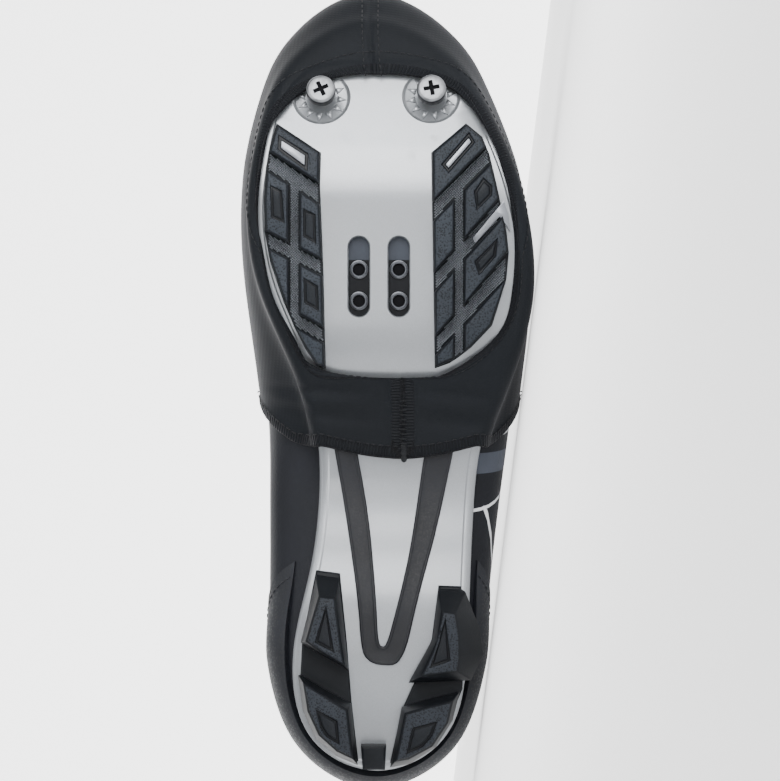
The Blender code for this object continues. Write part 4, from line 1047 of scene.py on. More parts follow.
def moulded(name, shapes, rounding):  # flat forms with rounded edges, hung under the plate's lower face
    item = workPiece(name, joinShapes(shapes))
    roundEdges(item, rounding, 2, 25)
    shape = bmesh.new()
    shape.from_mesh(baked(item))
    rise = shape.verts.layers.float.new("rise")
    low, high = (pick(vert.co.x for vert in shape.verts) for pick in (min, max))
    steps = int((high - low) / tread["bendStep"])
    for i in range(1, steps + 1):
        every = list(shape.verts) + list(shape.edges) + list(shape.faces)
        bmesh.ops.bisect_plane(shape, geom=every, dist=1e-6, plane_no=(1, 0, 0),
                               plane_co=(low + (high - low) * i / (steps + 1), 0, 0))
    for vert in shape.verts:
        vert[rise] = vert.co.z
        vert.co.z = underside(vert.co.x) - shoe["gap"] - vert.co.z
    bmesh.ops.reverse_faces(shape, faces=shape.faces)
    shape.to_mesh(item.data)
    shape.free()
    return item


def treadRubber(name, colour, top, look):  # rubber whose lug tops are paler and grainier than its sides
    made, tree, shader, place = material(name, {"Base Color": colour, "Roughness": look["roughness"],
                                                "Specular IOR Level": look["specular"]})
    rise = put(tree, "ShaderNodeAttribute", {"attribute_name": "rise"}).outputs["Fac"]
    onTop = band(tree, rise, top - 0.0003, top - 0.0001)
    fromField = sums(tree, "ABSOLUTE", sums(tree, "SUBTRACT", rise, top - tread["windowDepth"]))
    inWindow = band(tree, fromField, 0.0001, 0.00003)
    pits = use(tree, grain, {"Scale": look["grainScale"], "Fine": 0.3}, {"Vector": place})
    slow = use(tree, wear, {"Scale": 55.0, "Low": 0.85, "High": 1.15}, {"Vector": place})
    shade = blend(tree, onTop, 1.0, look["topShare"])
    shade = blend(tree, inWindow, shade, look["windowShare"])
    speckle = blend(tree, onTop, 1.0, band(tree, pits.outputs["Tone"], 0.0, 1.0, 0.35, 1.8))
    tone = sums(tree, "MULTIPLY", sums(tree, "MULTIPLY", shade, speckle), slow.outputs["Tone"])
    tree.links.new(toned(tree, colour, tone), shader.inputs["Base Color"])
    rough = blend(tree, inWindow, look["roughness"], look["windowRoughness"])
    tree.links.new(rough, shader.inputs["Roughness"])
    depth = sums(tree, "MULTIPLY", pits.outputs["Height"], blend(tree, onTop, 0.15, 1.0))
    bump(tree, shader, depth, look["pitDepth"])
    return made


rubberLook = {"roughness": 0.46, "windowRoughness": 0.30, "specular": 0.12, "grainScale": 1500.0, "topShare": 1.75,
              "windowShare": 0.7, "pitDepth": 0.00012}
treadMaterial = treadRubber("treadRubber", (0.0065, 0.0078, 0.0098), tread["base"] + tread["lugHeight"], rubberLook)
heelMaterial = treadRubber("heelRubber", (0.0055, 0.0064, 0.0080), tread["heelLugHeight"],
                           {**rubberLook, "topShare": 1.7})
# the knurl is the tread's own rubber, painted far paler than the lugs so its peaks stand out of the lugs' shade:
# painted highlight
knurlPaintedHighlightMaterial = mouldedRubber("knurledWebPaintedHighlight", (0.10, 0.108, 0.12), 0.34, 1900.0, 0.00005)
foilMaterial = smoothPlastic("windowFoil", (0.17, 0.18, 0.20), 0.30, {"Metallic": 0.5, "Coat Weight": 0.3})

# forefoot pads and the channels between their lugs, as shares of the shoe's length and ball width
medialPad = ((0.829, -0.366), (0.792, -0.207), (0.750, -0.210), (0.649, -0.198), (0.524, -0.190),
              (0.527, -0.222), (0.548, -0.262), (0.577, -0.304), (0.605, -0.338), (0.656, -0.388),
              (0.694, -0.408), (0.733, -0.410), (0.772, -0.402), (0.796, -0.392))
medialChannels = (((0.784, -0.407), (0.738, -0.207), 0.0050),
                   ((0.685, -0.411), (0.648, -0.200), 0.0042),
                   ((0.590, -0.330), (0.563, -0.187), 0.0040))
medialSplit = (-0.302, 0.0030)
lateralPad = ((0.792, 0.187), (0.829, 0.312), (0.812, 0.370), (0.789, 0.396), (0.753, 0.420),
               (0.733, 0.432), (0.693, 0.456), (0.668, 0.464), (0.634, 0.455), (0.577, 0.404),
               (0.550, 0.330), (0.537, 0.282), (0.530, 0.250), (0.524, 0.200))
lateralChannels = (((0.719, 0.196), (0.789, 0.393), 0.0042),
                    ((0.634, 0.207), (0.725, 0.443), 0.0040),
                    ((0.554, 0.207), (0.651, 0.466), 0.0040))
lateralSplit = (0.286, 0.0027)


def inside(outline, point):
    crossings = False
    for a, b in zip(outline, outline[1:] + outline[:1]):
        if (a.y > point.y) != (b.y > point.y) and point.x < a.x + (b.x - a.x) * (point.y - a.y) / (b.y - a.y):
            crossings = not crossings
    return crossings


def knurl(name, pad, lugs, side):  # a lattice of small peaks over the web that shows between the lugs
    pitch = tread["knurlPitch"]
    edge = shrink(pad, tread["knurlInset"])
    walls = [shrink(lug, -tread["knurlClear"]) for lug in lugs]
    low, high = ([pick(p[k] for p in pad) for k in range(2)] for pick in (min, max))
    points = []
    for i in range(int((high[0] - low[0]) / pitch * 2) + 1):
        for j in range(int((high[1] - low[1]) / pitch) + 1):
            point = Vector((low[0] + i * pitch / 2, low[1] + (j + i % 2 / 2) * pitch))
            if inside(edge, point) and not any(inside(wall, point) for wall in walls):
                points.append((point.x, point.y, underside(point.x) - shoe["gap"] - tread["base"] + 0.00005))
    settings = {"Sides": 4, "Top": 0.10, "Uneven": 0.15, "Seed": 11 + side, "Length": 1.15 * pitch,
                "Width": 1.15 * pitch, "Height": tread["knurlHeight"]}
    ups = [(0, 0, -1)] * len(points)
    return repeat(name, peakTree, points, ups, [(1, 0, 0)] * len(points), settings, knurlPaintedHighlightMaterial, "tread_rubber")


def fitted(window, outline):  # draws a window in until its groove lies inside the lug's top
    middle = sum(outline, Vector((0, 0))) / len(outline)
    for _ in range(tread["fitTries"]):
        if all(inside(outline, corner) for corner in shrink(window, -tread["groove"] - tread["fitMargin"])):
            break
        window = [corner.lerp(middle, tread["fitStep"]) for corner in window]
    return window


def lugForm(levels, window, top):  # a lug; its window is a groove round a slightly sunk field
    shape = bmesh.new()

    def rise(rings):
        loops = [[shape.verts.new((x, y, height)) for x, y in outline] for outline, height in rings]
        for low, high in zip(loops, loops[1:]):
            for i in range(len(low)):
                shape.faces.new((low[i - 1], low[i], high[i], high[i - 1]))
        return loops

    loops = rise(levels)
    shape.faces.new(loops[0][::-1])
    if window is None:
        shape.faces.new(loops[-1])
    else:
        deep, groove, slope, lip = top - tread["windowDepth"], tread["groove"], tread["grooveSlope"], tread["lip"]
        window = fitted(window, [Vector(corner) for corner in levels[-1][0]])
        sunk = rise([(shrink(window, -groove - slope), top), (shrink(window, -groove), deep),
                     (shrink(window, -lip), deep), (window, top - tread["fieldShare"] * tread["windowDepth"])])
        shape.faces.new(sunk[-1])
        rims = [shape.edges.get((ring[i - 1], ring[i])) for ring in (loops[-1], sunk[0]) for i in range(len(ring))]
        bmesh.ops.triangle_fill(shape, edges=rims, use_beauty=True)
    bmesh.ops.recalc_face_normals(shape, faces=shape.faces)
    return shape


def forefootTread(name, node, pad, channels, split, outerSide, wholeRows, windows, bright):
    top = tread["base"] + tread["lugHeight"]
    chamfer = tread["lugChamfer"]
    outline = real(pad)
    lugs = partedLugs(pad, channels, split, outerSide, wholeRows)
    shapes = [stack([(outline, 0.0), (outline, tread["base"])])]
    foils = [stack([(real(patch), tread["base"] - 0.0002), (real(patch), tread["base"] + 0.0008)])
             for patch in bright["web"]]
    for place, lug in enumerate(lugs):
        levels = [(lug, 0.5 * tread["base"]), (shrink(lug, 0.3 * chamfer), top - chamfer),
                  (shrink(lug, 1.6 * chamfer), top)]
        window = fitted(real(windows[place]), levels[-1][0]) if place in windows else None
        shapes.append(lugForm(levels, window, top))
        if place in bright["lugs"]:
            foils.append(stack([(shrink(window, 0.0001), top - 0.6 * tread["windowDepth"]),
                                (shrink(window, 0.0002), top - 0.15 * tread["windowDepth"])]))
    piece = settle(moulded(name, shapes, tread["rounding"]), treadMaterial, "tread_rubber", node, smooth=40)
    if foils:
        settle(moulded(name + "Foils", foils, 0.0001), foilMaterial, "silver_plate", smooth=40)
    knurl(name + "Knurl", outline, lugs, outerSide)
    return piece


# windows in the lug tops, by the lug's place in its pad, and a bare patch of plate between two lugs
medialWindows = {
    0: ((0.809, -0.355), (0.787, -0.257), (0.772, -0.259), (0.797, -0.357)),
    1: ((0.747, -0.376), (0.743, -0.352), (0.707, -0.344), (0.711, -0.373)),
    2: ((0.720, -0.262), (0.715, -0.232), (0.679, -0.229), (0.686, -0.262)),
    4: ((0.632, -0.259), (0.625, -0.225), (0.599, -0.221), (0.606, -0.257)),
}
lateralWindows = {
    0: ((0.810, 0.320), (0.804, 0.330), (0.771, 0.248), (0.776, 0.236)),
    1: ((0.754, 0.374), (0.748, 0.392), (0.739, 0.392), (0.726, 0.355), (0.741, 0.349)),
    3: ((0.678, 0.413), (0.664, 0.407), (0.646, 0.361), (0.655, 0.352)),
}
lateralPatch = ((0.685, 0.334), (0.732, 0.446), (0.714, 0.462), (0.693, 0.470), (0.712, 0.431), (0.679, 0.344))
forefootTread("treadMedial", "tread_medial", medialPad, medialChannels, medialSplit, -1, (0, 3), medialWindows,
              {"lugs": (0,), "web": ()})
forefootTread("treadLateral", "tread_lateral", lateralPad, lateralChannels, lateralSplit, 1, (0,), lateralWindows,
              {"lugs": (0,), "web": (lateralPatch,)})
print("forefoot treads done")

# heel mouldings: the thin base of each side, and each lug at the plate, at its widest and at the ground
heelMedialBase = ((0.272, -0.226), (0.268, -0.140), (0.187, -0.116), (0.109, -0.098),
                    (0.034, -0.074), (0.046, -0.150), (0.066, -0.218), (0.098, -0.262),
                    (0.137, -0.282), (0.180, -0.276), (0.230, -0.250))
heelMedialLugs = (
    (((0.270, -0.222), (0.266, -0.144), (0.187, -0.120), (0.150, -0.108), (0.166, -0.190), (0.184, -0.272)),
     ((0.262, -0.226), (0.258, -0.144), (0.187, -0.120), (0.149, -0.108), (0.165, -0.193), (0.183, -0.280)),
     ((0.243, -0.214), (0.241, -0.154), (0.187, -0.134), (0.155, -0.120), (0.169, -0.192), (0.186, -0.262))),
    (((0.142, -0.272), (0.124, -0.190), (0.107, -0.102), (0.036, -0.078), (0.046, -0.146), (0.066, -0.212),
      (0.098, -0.256)),
     ((0.143, -0.290), (0.124, -0.192), (0.107, -0.098), (0.030, -0.076), (0.042, -0.154), (0.064, -0.228),
      (0.098, -0.272)),
     ((0.136, -0.270), (0.119, -0.188), (0.102, -0.110), (0.040, -0.090), (0.050, -0.150), (0.070, -0.214),
      (0.100, -0.254))),
)
heelLateralBase = ((0.253, 0.214), (0.252, 0.296), (0.187, 0.304), (0.125, 0.300), (0.090, 0.258),
                     (0.056, 0.200), (0.034, 0.112), (0.032, 0.040), (0.100, 0.084), (0.150, 0.150),
                     (0.187, 0.190))
heelLateralLugs = (
    (((0.251, 0.218), (0.250, 0.292), (0.200, 0.300), (0.168, 0.303), (0.137, 0.300), (0.134, 0.112),
      (0.187, 0.196)),
     ((0.247, 0.212), (0.246, 0.310), (0.200, 0.362), (0.168, 0.374), (0.136, 0.330), (0.133, 0.106),
      (0.187, 0.192)),
     ((0.225, 0.222), (0.222, 0.276), (0.196, 0.290), (0.168, 0.292), (0.148, 0.284), (0.142, 0.146),
      (0.187, 0.206))),
    (((0.102, 0.086), (0.112, 0.180), (0.120, 0.278), (0.088, 0.250), (0.056, 0.192), (0.036, 0.108),
      (0.034, 0.046)),
     ((0.103, 0.082), (0.113, 0.180), (0.122, 0.290), (0.086, 0.264), (0.053, 0.204), (0.032, 0.112),
      (0.027, 0.040)),
     ((0.098, 0.092), (0.107, 0.180), (0.114, 0.266), (0.085, 0.246), (0.056, 0.190), (0.040, 0.106),
      (0.037, 0.056))),
)
heelMedialWindows = (
    ((0.223, -0.189), (0.179, -0.171), (0.187, -0.215)),
    ((0.103, -0.231), (0.085, -0.141), (0.050, -0.130), (0.061, -0.179), (0.077, -0.209)),
)
heelLateralWindows = (
    ((0.208, 0.235), (0.165, 0.244), (0.159, 0.196)),
    ((0.077, 0.114), (0.086, 0.209), (0.069, 0.190), (0.051, 0.145), (0.042, 0.089)),
)
bumper = ((0.056, -0.064), (0.056, 0.026), (0.026, 0.022), (0.026, -0.058))


def heelTread(name, node, base, lugLevels, windows):
    height, chamfer = tread["heelLugHeight"], tread["heelLugChamfer"]
    outline = real(base)
    shapes = [stack([(outline, 0.0), (outline, 0.8 * tread["heelBase"]),
                     (shrink(outline, 0.0006), tread["heelBase"])])]
    for (atPlate, widest, ground), window in zip(lugLevels, windows):
        ground = real(ground)
        levels = [(real(atPlate), 0.5 * tread["heelBase"]), (real(widest), 0.30 * height),
                  (ground, height - chamfer), (shrink(ground, chamfer), height)]
        shapes.append(lugForm(levels, real(window), height))
    return settle(moulded(name, shapes, tread["rounding"]), heelMaterial, "heel_rubber", node, smooth=40)


heelTread("heelTreadMedial", "heel_tread_medial", heelMedialBase, heelMedialLugs, heelMedialWindows)
heelTread("heelTreadLateral", "heel_tread_lateral", heelLateralBase, heelLateralLugs, heelLateralWindows)


def heelBumper():
    outline = real(bumper)
    height, edge, step, sunk = tread["bumperHeight"], 0.0008, 0.0007, 0.0004
    levels = [(outline, 0.0), (outline, height - 5 * step)]
    for k in range(2):  # two thin bands round its top
        rise = height - (5 - 2 * k) * step
        levels += [(shrink(outline, sunk), rise + 0.1 * step), (shrink(outline, sunk), rise + step),
                   (outline, rise + 1.1 * step), (outline, rise + 2 * step)]
    levels += [(outline, height - edge), (shrink(outline, edge), height)]
    item = moulded("heelBumper", [stack(levels)], 0.00015)
    return settle(item, heelMaterial, "heel_rubber", "heel_bumper", smooth=40)


heelBumper()

# fork-shaped inlay under the arch
wishbone = ((0.456, -0.178), (0.347, -0.122), (0.238, -0.077), (0.168, -0.062), (0.155, -0.021),
            (0.153, 0.062), (0.174, 0.099), (0.238, 0.141), (0.327, 0.212), (0.456, 0.290),
            (0.456, 0.180), (0.300, 0.114), (0.238, 0.073), (0.176, 0.026), (0.179, -0.002),
            (0.238, -0.010), (0.340, -0.036), (0.456, -0.098))
inlay = {"thickness": 0.0012, "edge": 0.0004, "rim": 0.0009, "sunk": 0.0003}


def softened(outline, times):  # corners cut off again and again, so that they turn round
    for _ in range(times):
        outline = [corner for a, b in zip(outline, outline[1:] + outline[:1])
                   for corner in (a.lerp(b, 0.2), a.lerp(b, 0.8))]
    return outline


def wishboneInlay():
    outline = softened(real(wishbone), 2)
    height = inlay["thickness"]
    rings = [(outline, 0.0), (outline, height - inlay["edge"]), (shrink(outline, inlay["edge"]), height),
             (shrink(outline, inlay["rim"]), height), (shrink(outline, 1.35 * inlay["rim"]), height - inlay["sunk"])]
    made = mouldedRubber("inlayPlastic", (0.0036, 0.0040, 0.0058), 0.45, 1300.0, 0.00004)
    item = moulded("wishboneInlay", [stack(rings)], 0.00012)
    return settle(item, made, "inlay_plastic", "wishbone_inlay", smooth=40)


wishboneInlay()
print("heel and arch mouldings done")

# sole plate with its slots and stud seats, nut plate and studs
studs = (("toe_stud_medial", 0.862, -0.207, math.radians(25)),
         ("toe_stud_lateral", 0.863, 0.188, math.radians(10)))
nutPlate = {"size": (0.036, 0.034, 0.0024), "hole": 0.0042, "boss": 0.0058, "bossLength": 0.0016, "pitch": 0.011,
            "backward": 0.003, "sides": 40}
stud = {"head": 0.0103, "headHeight": 0.0042, "shank": 0.0050, "height": 0.0092, "crossLength": 0.0056,
        "crossWidth": 0.0015, "crossDepth": 0.0022, "sides": 40}


def onUnderside(xShare, yShare, depth):  # place on the plate's lower face, its z pointing away from the plate
    x, step = xShare * shoe["length"], 0.002
    slope = (underside(x + step) - underside(x - step)) / (2 * step)
    turn = Matrix.Rotation(-math.atan(slope), 4, "Y") @ Matrix.Rotation(math.pi, 4, "X")
    return Matrix.Translation((x, yShare * shoe["ballWidth"], underside(x) + depth)) @ turn


def circle(radius, sides, centre=(0, 0)):
    return [(centre[0] + radius * math.cos(math.tau * i / sides), centre[1] + radius * math.sin(math.tau * i / sides))
            for i in range(sides)]


def stadium(y, radius, length):
    x = plate["slotCentre"] * shoe["length"]
    straight = (length - plate["slotWidth"]) / 2
    return [(x + end * straight + radius * math.cos(math.radians(first + 180 * i / 16)),
             y + radius * math.sin(math.radians(first + 180 * i / 16)))
            for end, first in ((1, -90), (-1, 90)) for i in range(17)]


def box(centre, size, low, high):
    (x, y), (halfX, halfY) = centre, (size[0] / 2, size[1] / 2)
    outline = [(x - halfX, y - halfY), (x + halfX, y - halfY), (x + halfX, y + halfY), (x - halfX, y + halfY)]
    return stack([(outline, low), (outline, high)])


def metalPlate(look):
    made, tree, shader, place = material("silverPlate", {
        "Base Color": look["colour"], "Metallic": look["metallic"], "Roughness": look["roughness"],
        "Coat Weight": look["coat"], "Coat Roughness": look["coatRoughness"]})
    flakes = put(tree, "ShaderNodeTexVoronoi", values={"Scale": 5200.0}, wires={"Vector": place})
    slow = use(tree, wear, {"Scale": 18.0, "Low": 0.95, "High": 1.05}, {"Vector": place})
    spark = put(tree, "ShaderNodeSeparateXYZ", wires={0: flakes.outputs["Color"]})
    tone = sums(tree, "MULTIPLY", slow.outputs["Tone"], band(tree, spark.outputs[0], 0.0, 1.0, 0.95, 1.05))
    tree.links.new(toned(tree, look["colour"], tone), shader.inputs["Base Color"])
    tree.links.new(band(tree, slow.outputs["Scuff"], 0.0, 1.0, look["roughness"], look["roughness"] + 0.08),
                   shader.inputs["Roughness"])
    peel = put(tree, "ShaderNodeTexNoise", values={"Scale": 260.0, "Detail": 2.0}, wires={"Vector": place})
    bump(tree, shader, peel.outputs[0], 0.00004, 0.25)
    return made


plateLook = {"colour": (0.2211, 0.2323, 0.2468), "metallic": 0.6, "roughness": 0.34, "coat": 0.6,
             "coatRoughness": 0.13}
plateMaterial = metalPlate(plateLook)
field = {"inset": 0.0030, "slope": 0.0006, "rise": 0.00026, "slotEase": 0.0004, "seatSides": 64}


def solePlate():
    chamfer = plate["chamfer"]
    levels = [(field["inset"] + field["slope"], share, lambda x: underside(x) - field["rise"])
              for share in (1.0, 0.75, 0.5, 0.25, 0.0)]
    levels += [(field["inset"], 0.0, underside), (1.6 * chamfer, 0.0, underside)]
    for angle in (0, 30, 60, 90):
        turn = math.radians(angle)
        levels.append((chamfer * (1 - math.sin(turn)), 0.0,
                       lambda x, turn=turn: underside(x) + chamfer * (1 - math.cos(turn))))
    levels.append((0.0, 0.0, lambda x: plateTop(x) - chamfer / 2))
    levels += [(chamfer / 2, share, plateTop) for share in (0.0, 0.33, 0.67, 1.0)]
    columns = [[(flatRing(t, inset, share, height), 0, 0) for inset, share, height in levels]
               for t in spread(0, loopRows, plate["rowsPerStep"] * loopRows + 1)[:-1]]
    item = workPiece("solePlate", surface(columns, closed=True))
    centre, radius, ease = plate["slotCentre"] * shoe["length"], plate["slotWidth"] / 2, field["slotEase"]
    low, reach = underside(centre), plate["slotLength"]
    tools = []
    for side in (-1, 1):
        y = side * plate["slotSpacing"] / 2
        rings = ((radius + ease, -0.002), (radius + ease, -field["rise"]), (radius, ease), (radius, 0.01))
        tools.append(stack([(stadium(y, ring, reach), low + height) for ring, height in rings]))
    length, width, depth = nutPlate["size"]
    room = 2 * shoe["gap"]
    tools.append(box((centre, 0), (length + room, width + room),
                     shoe["upperFloor"] - depth - room, shoe["upperFloor"] + depth))
    seat, deep = plate["studRecess"] / 2, plate["recessDepth"]
    rings = ((seat - 0.0006, 0.0), (seat - 0.0002, 0.2 * deep), (seat + 0.0008, deep + field["rise"]),
             (seat + 0.0008, 4 * deep))
    for _, xShare, yShare, _ in studs:
        shape = stack([(circle(ring, field["seatSides"]), height) for ring, height in rings])
        bmesh.ops.transform(shape, verts=shape.verts, matrix=onUnderside(xShare, yShare, deep))
        bmesh.ops.recalc_face_normals(shape, faces=shape.faces)
        tools.append(shape)
    cutters = [workPiece("cutter", shape) for shape in tools]
    for tool in cutters:
        cutAway(item, tool)
    baked(item)
    for tool in cutters:
        bpy.data.objects.remove(tool, do_unlink=True)
    return settle(item, plateMaterial, "silver_plate", "sole_plate", smooth=22)


solePlate()


def seatTeeth():  # short wedges round each stud, on the floor of its seat
    points, ups, alongs = [], [], []
    for _, xShare, yShare, turn in studs:
        place = onUnderside(xShare, yShare, plate["recessDepth"])
        for i in range(plate["recessTeeth"]):
            angle = turn + math.tau * i / plate["recessTeeth"]
            away = Vector((math.cos(angle), math.sin(angle), 0))
            points.append(place @ (away * plate["toothPlace"]))
            ups.append(place.to_3x3() @ Vector((0, 0, 1)))
            alongs.append(place.to_3x3() @ away)
    settings = {"Sides": 3, "Top": 0.34, "Uneven": 0.0, "Seed": 5, "Length": plate["toothLength"],
                "Width": plate["toothWidth"], "Height": plate["toothHeight"]}
    return repeat("seatTeeth", peakTree, points, ups, alongs, settings, plateMaterial, "silver_plate")


seatTeeth()


def nutMaterial():
    made, tree, shader, place = material("nutSteel", {"Base Color": (0.05, 0.055, 0.065), "Metallic": 0.0,
                                                      "Roughness": 0.4, "Specular IOR Level": 0.12})
    where = put(tree, "ShaderNodeAttribute", {"attribute_name": "shoePlace"})
    ahead = put(tree, "ShaderNodeSeparateXYZ", wires={0: where.outputs["Vector"]}).outputs["X"]
    pale = band(tree, ahead, 0.1856, 0.1860)  # the plate is pale ahead of its bosses and dark round them
    slow = use(tree, wear, {"Scale": 90.0, "Low": 0.9, "High": 1.1}, {"Vector": place})
    colour = blend(tree, pale, (0.004, 0.0045, 0.006, 1.0), (0.036, 0.041, 0.052, 1.0))
    tree.links.new(toned(tree, colour, slow.outputs["Tone"]), shader.inputs["Base Color"])
    rings = put(tree, "ShaderNodeTexNoise", values={"Scale": 1400.0}, wires={"Vector": place})
    bump(tree, shader, rings.outputs[0], 0.00003)
    return made


def nutPlatePiece():
    length, width, depth = nutPlate["size"]
    x, low = plate["slotCentre"] * shoe["length"], shoe["upperFloor"] - depth - shoe["gap"]
    hole, boss, reach, sides = nutPlate["hole"] / 2, nutPlate["boss"] / 2, nutPlate["bossLength"], nutPlate["sides"]
    steps = ((hole, -0.2), (hole, reach), (hole + 0.0002, reach + 0.0002), (boss - 0.0003, reach + 0.0002),
             (boss, reach), (boss, 0.45 * reach), (boss + 0.0003, 0.40 * reach), (boss + 0.0004, -0.2))
    rings, holeShades = [], []
    for side in (-1, 1):
        for end in (-1, 1):
            centre = (x + end * nutPlate["pitch"] / 2 - nutPlate["backward"], side * plate["slotSpacing"] / 2)
            ring = bmesh.new()
            loops = [[ring.verts.new((px, py, low - max(rise, -0.0001))) for px, py in circle(radius, sides, centre)]
                     for radius, rise in steps]
            for first, second in zip(loops, loops[1:]):
                for i in range(sides):
                    ring.faces.new((first[i], first[i - 1], second[i - 1], second[i]))
            ring.faces.new(loops[0][::-1])
            bmesh.ops.recalc_face_normals(ring, faces=ring.faces)
            rings.append(ring)
            # a dark disc in each boss's hole: painted shade for the hole's depth
            holeShade = circle(hole - 0.00005, 24, centre)
            holeShades.append(stack([(holeShade, low - 0.0006), (holeShade, low)]))
    settle(workPiece("nutBosses", joinShapes(rings)), bossMaterial, "nut_steel", smooth=30)
    settle(workPiece("nutHoleShades", joinShapes(holeShades)), paintedShadeMaterial, "nut_steel", smooth=30)
    item = workPiece("nutPlate", box((x, 0), (length, width), low, low + depth))
    return settle(item, nutMaterial(), "nut_steel", "cleat_nut_plate", smooth=30)


# near-black material for painted shade, in the studs' cross recesses and in the nut plate's holes
paintedShadeMaterial = smoothPlastic("crossShade", (0.004, 0.004, 0.005), 0.6, {"Specular IOR Level": 0.04})
bossMaterial = smoothPlastic("bossSteel", (0.085, 0.090, 0.100), 0.30, {"Metallic": 0.9})
nutPlatePiece()


def studSteelWithPaintedShade():  # steel with a satin face; the head's side and the shank below it are painted near-black, painted shade under the head
    made, tree, shader, place = material("studSteel", {"Base Color": (0.17, 0.175, 0.185), "Metallic": 1.0,
                                                       "Roughness": 0.40})
    rise = put(tree, "ShaderNodeAttribute", {"attribute_name": "rise"}).outputs["Fac"]
    face = band(tree, rise, stud["height"] - 0.0009, stud["height"] - 0.0005)
    turned = use(tree, wear, {"Scale": 420.0, "Low": 0.85, "High": 1.15}, {"Vector": place})
    # near-black below the face: painted shade on the head's side and the shank, with steel only on the top face
    colour = blend(tree, face, (0.012, 0.012, 0.014, 1.0), (0.20, 0.205, 0.215, 1.0))
    tree.links.new(toned(tree, colour, turned.outputs["Tone"]), shader.inputs["Base Color"])
    peel = use(tree, grain, {"Scale": 1600.0, "Fine": 0.8}, {"Vector": place})
    bump(tree, shader, peel.outputs["Height"], 0.00003, 0.6)
    return made


studMaterial = studSteelWithPaintedShade()


def crossArm(k, turn, size, low, high):  # one of the two arms of the cross in a stud's head
    arm = box((0, 0), size, low, high)
    bmesh.ops.rotate(arm, verts=arm.verts, cent=(0, 0, 0), matrix=Matrix.Rotation(turn + k * math.pi / 2, 3, "Z"))
    return arm


def toeStud(name, node, xShare, yShare, turn):
    head, height, shank = stud["head"] / 2, stud["height"], stud["shank"] / 2
    length, width, depth = stud["crossLength"], stud["crossWidth"], stud["crossDepth"]
    under = height - stud["headHeight"]
    rings = ((0.0, shank), (under, shank), (under, head - 0.0002), (under + 0.0002, head), (height - 0.0010, head),
             (height - 0.0006, 0.975 * head), (height - 0.0003, 0.93 * head), (height - 0.0001, 0.86 * head),
             (height, 0.80 * head))
    item = workPiece(name, stack([(circle(radius, stud["sides"]), rise) for rise, radius in rings]))
    tools = []
    for k in range(2):
        tools.append(workPiece("cross", crossArm(k, turn, (length, width), height - depth, height + depth)))
        cutAway(item, tools[-1])
    mesh = baked(item)
    for tool in tools:
        bpy.data.objects.remove(tool, do_unlink=True)
    place = onUnderside(xShare, yShare, plate["recessDepth"] - shoe["gap"])
    heights = mesh.attributes.new("rise", "FLOAT", "POINT")
    heights.data.foreach_set("value", [vert.co.z for vert in mesh.vertices])
    mesh.transform(place)
    crossShadeBoxes = []
    for k in range(2):  # the cross recess's depth, shown by dark boxes: painted shade
        arm = crossArm(k, turn, (0.96 * length, 0.92 * width), height - 0.0020, height - (0.0007 + 0.0001 * k))
        bmesh.ops.transform(arm, verts=arm.verts, matrix=place)
        crossShadeBoxes.append(arm)
    settle(workPiece(name + "CrossPaintedShade", joinShapes(crossShadeBoxes)), paintedShadeMaterial, "stud_steel", smooth=35)
    return settle(item, studMaterial, "stud_steel", node, smooth=35)


for node, xShare, yShare, turn in studs:
    toeStud(node.replace("toe_stud_", "stud"), node, xShare, yShare, turn)
print("plate, nut plate and studs done")


# upper, heel counter and insole
upperLook = {"colour": (0.0048, 0.0056, 0.0085), "lining": (0.030, 0.033, 0.038), "roughness": 0.55, "wall": 0.0025,
             "collarWall": 0.0085, "padDepth": 0.024, "columnsPerRow": 7, "white": (0.62, 0.63, 0.65),
             "grey": (0.050, 0.057, 0.074), "topStitch": 0.0052, "secondStitch": 0.0082}

# printed lines on the lateral side: start and finish as (x, z) and half the width, in millimetres
greyPrints = (((111.9, 12.0), (117.2, 50.0), 3.7),)
whitePrints = (((119.6, 12.0), (129.1, 50.0), 0.5), ((94.6, 20.0), (98.9, 30.0), 0.5),
               ((98.9, 30.0), (105.0, 42.0), 0.5), ((98.4, 28.5), (81.0, 32.0), 0.5),
               ((81.0, 32.0), (72.2, 33.0), 0.5))


def printedMask(tree, where, prints):
    whole = None
    for start, finish, half in prints:
        values = {"From": (start[0] / 1000, 0, start[1] / 1000), "To": (finish[0] / 1000, 0, finish[1] / 1000),
                  "Half Width": half / 1000}
        mask = use(tree, printedLine, values, {"Place": where}).outputs["Mask"]
        whole = mask if whole is None else sums(tree, "MAXIMUM", whole, mask)
    return whole


